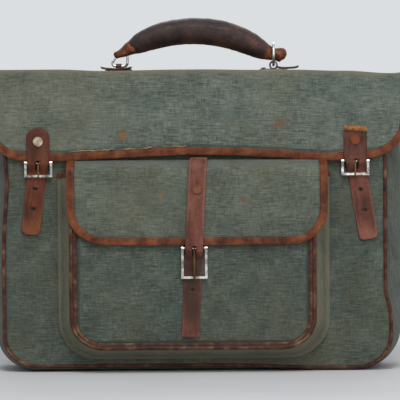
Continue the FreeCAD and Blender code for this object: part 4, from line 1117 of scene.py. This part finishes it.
def handle():
    """The padded grip and its two ends, which wrap the rings."""
    grip = roll("padded_grip", (
        (-71.0, 322.4, 4.2, 4.6), (-60.0, 328.4, 9.0, 9.4), (-47.0, 334.3, 11.2, 11.0),
        (-26.0, 340.0, 12.5, 11.8), (-5.0, 342.0, 12.9, 12.0), (16.0, 340.9, 13.0, 12.0),
        (36.0, 336.4, 12.7, 11.8), (53.0, 329.6, 11.6, 11.0), (66.0, 322.9, 9.3, 9.4),
        (76.5, 318.0, 5.6, 6.2)), GRIP, "handle", ("handle_grip",))
    roll("grip_end_left", (
        (-62.0, 327.0, 7.0, 8.2), (-67.5, 324.3, 6.9, 7.2), (-72.5, 321.2, 5.4, 6.0),
        (-77.5, 318.9, 4.0, 5.2), (-81.5, 317.6, 3.4, 4.8), (-83.0, 316.8, 1.2, 2.4)),
        END_LEATHER, "handle", ("handle_end_left",), 28, 36, 0.8, 0)
    roll("grip_end_right", (
        (68.0, 321.6, 8.2, 8.4), (73.5, 318.9, 7.4, 7.6), (78.5, 317.3, 6.2, 6.8),
        (83.0, 317.2, 7.0, 6.6), (87.5, 316.4, 7.0, 6.2), (90.8, 314.6, 2.4, 3.0)),
        END_LEATHER, "handle", ("handle_end_right",), 28, 40, 1.0, 0)


def ring_tab(name, middle, half, way):
    """A strip of dark leather that holds a ring down on the flap, its ends curling up."""
    top = reach("flap_top")[1].z

    def centre(run):
        share = run / half - 1
        lift = 1.0 + 1.9 * abs(share) ** 3 + 0.5 * wander(run, 0, middle / 50, 9)
        return Vector((middle + way * share * half, 0, top + 0.6 + lift))

    def half_width(run):
        return 5.8 + 0.5 * wander(run, 0, 2.0 + way, 7)
    work = leather_strip(half * 2, centre, lambda run: Vector((0, -way, 0)), half_width,
                         lambda run, across: 0.5 * abs(run / half - 1) ** 4, (3.0, 4.0), 50)
    made(work, name, TAB_LEATHER, "flap_top")


# -------- put together

wall("front_wall_cloth", "front_panel", True)
wall("back_wall_cloth", "back_panel", False)
gusset_cloth()
bead("front_seam_bead", "front_piping", 33, -49.5, raised=3.0)
bead("back_seam_bead", "back_piping", 33, 49.5)
folded_edge("mouth_hem_leather", "mouth_hem")
main_flap()
pocket_front_cloth()
pocket_gusset_cloth()
bead("pocket_seam_bead", "pocket_piping", 32, -78.0, 2.2, tail=3.2)
folded_edge("pocket_hem_leather", "pocket_hem")
pocket_flap()
strap("left", -6.5, 11.5, 9.5, 32.0, 75.5, 0, (10.0, 6.0), (29, 49))
strap("right", 9.5, 11.5, 9.5, 29.5, 82.5, 0, (3.0, 5.0), (32, 53))
torn_lip()
strap("center", -2.8, 8.75, 8.75, 75.8, 92.0, 1, (0, 2.5), (25, 45))
center_strap_root()
for side in ("left", "right", "center"):
    softened("chape_fold_" + side, "chape_" + side, STRAP, "bag")
softened("ring_loop_left", "ring_clip_left", TAB_LEATHER, "flap_top", 0.45, 3)
handle()
ring_tab("ring_tab_left", -81.0, 16.0, 1)
ring_tab("ring_tab_right", 92.6, 11.6, -1)

new_finishes = {
    "base_board": BOARD, "top_board": BOARD, "chape_rivets": RIVET, "tab_rivets": DULL_RIVET,
    "strap_rivet_left": RIVET, "strap_rivet_right": WORN_RIVET, "strap_rivet_center": DULL_RIVET,
    "ring_left": STEEL, "ring_right": STEEL, "ring_eye_right": EYE_STEEL}
for side in ("left", "right", "center"):
    new_finishes["buckle_pin_" + side] = STEEL
    new_finishes["buckle_frame_" + side] = STEEL
    new_finishes["buckle_prong_" + side] = PRONG_STEEL
for node, finish in new_finishes.items():
    for entry in bpy.data.objects[node].material_slots:
        entry.material = finish


# -------- the studio

def studio():
    """A pale floor that fades into a pale backdrop, under three soft lights."""
    backdrop = shade(218, 222, 225)
    paper = Finish("floor_paper")
    spot = paper.on_object()
    speck = paper.speckle(spot, 6, 3)
    tone = paper.ramp(speck, [(0.3, (203, 204, 205)), (0.7, (207, 208, 209))])
    near = paper.add("ShaderNodeBsdfPrincipled", {}, {"Base Color": tone, "Roughness": 0.9,
                                                      "Specular IOR Level": 0.1})
    far = paper.add("ShaderNodeEmission", {}, {"Color": (*backdrop, 1), "Strength": 1.0})
    away = paper.add("ShaderNodeVectorMath", {"operation": "LENGTH"}, {0: spot})
    seen = Amount(paper, paper.add("ShaderNodeLightPath", {}, {}).outputs["Is Camera Ray"])
    fade = Amount(paper, away.outputs["Value"]).rise(0.45, 1.5) * seen
    mixed = paper.add("ShaderNodeMixShader", {}, {0: fade, 1: near.outputs[0], 2: far.outputs[0]})
    paper.add("ShaderNodeOutputMaterial", {}, {0: mixed.outputs[0]})
    work = bmesh.new()
    bmesh.ops.create_grid(work, x_segments=1, y_segments=1, size=9)
    made(work, "floor", paper.made)

    room = Finish("soft_room", bpy.data.worlds)
    bpy.context.scene.world = room.made
    path = room.add("ShaderNodeLightPath", {}, {})
    seen = path.outputs["Is Camera Ray"]
    for kind in ("Is Glossy Ray", "Is Transmission Ray"):
        either = room.add("ShaderNodeMath", {"operation": "MAXIMUM"},
                          {0: seen, 1: path.outputs[kind]})
        seen = either.outputs[0]
    lit, shown = [room.add("ShaderNodeBackground", {}, {0: (*colour, 1), 1: strength}).outputs[0]
                  for colour, strength in (((0.78, 0.8, 0.83), 0.48), (backdrop, 1.0))]
    both = room.add("ShaderNodeMixShader", {}, {0: seen, 1: lit, 2: shown})
    room.add("ShaderNodeOutputWorld", {}, {0: both.outputs[0]})

    middle = Vector((0, 0, 0.16))
    for name, place, energy, size in (("top_light", (0.0, -1.4, 1.9), 26, 0.9),
                                      ("front_light", (0.85, -2.2, 0.9), 15, 1.4),
                                      ("back_light", (0.2, 1.8, 1.8), 14, 1.6)):
        lamp = bpy.data.lights.new(name, "AREA")
        lamp.energy = energy
        lamp.size = size
        light = placed(name, lamp)
        light.location = place
        light.rotation_euler = (middle - light.location).to_track_quat("-Z", "Y").to_euler()


def camera():
    """A long lens that looks at the bag's front from a little above."""
    lens = bpy.data.cameras.new("camera")
    lens.lens = 300
    lens.sensor_width = 36
    lens.clip_start, lens.clip_end = 0.05, 50
    eye = placed("camera", lens)
    aim = Vector((0.003, -0.055, 0.172))
    rise = math.radians(2.0)
    half_view = 0.2
    distance = half_view / (lens.sensor_width / 2 / lens.lens)
    eye.location = aim + Vector((0, -math.cos(rise), math.sin(rise))) * distance
    level = (aim - eye.location).to_track_quat("-Z", "Y").to_matrix()
    eye.rotation_euler = (level @ Matrix.Rotation(math.radians(-0.4), 3, "Z")).to_euler()
    bpy.context.scene.camera = eye


studio()
camera()
bpy.context.scene.view_settings.view_transform = "Standard"
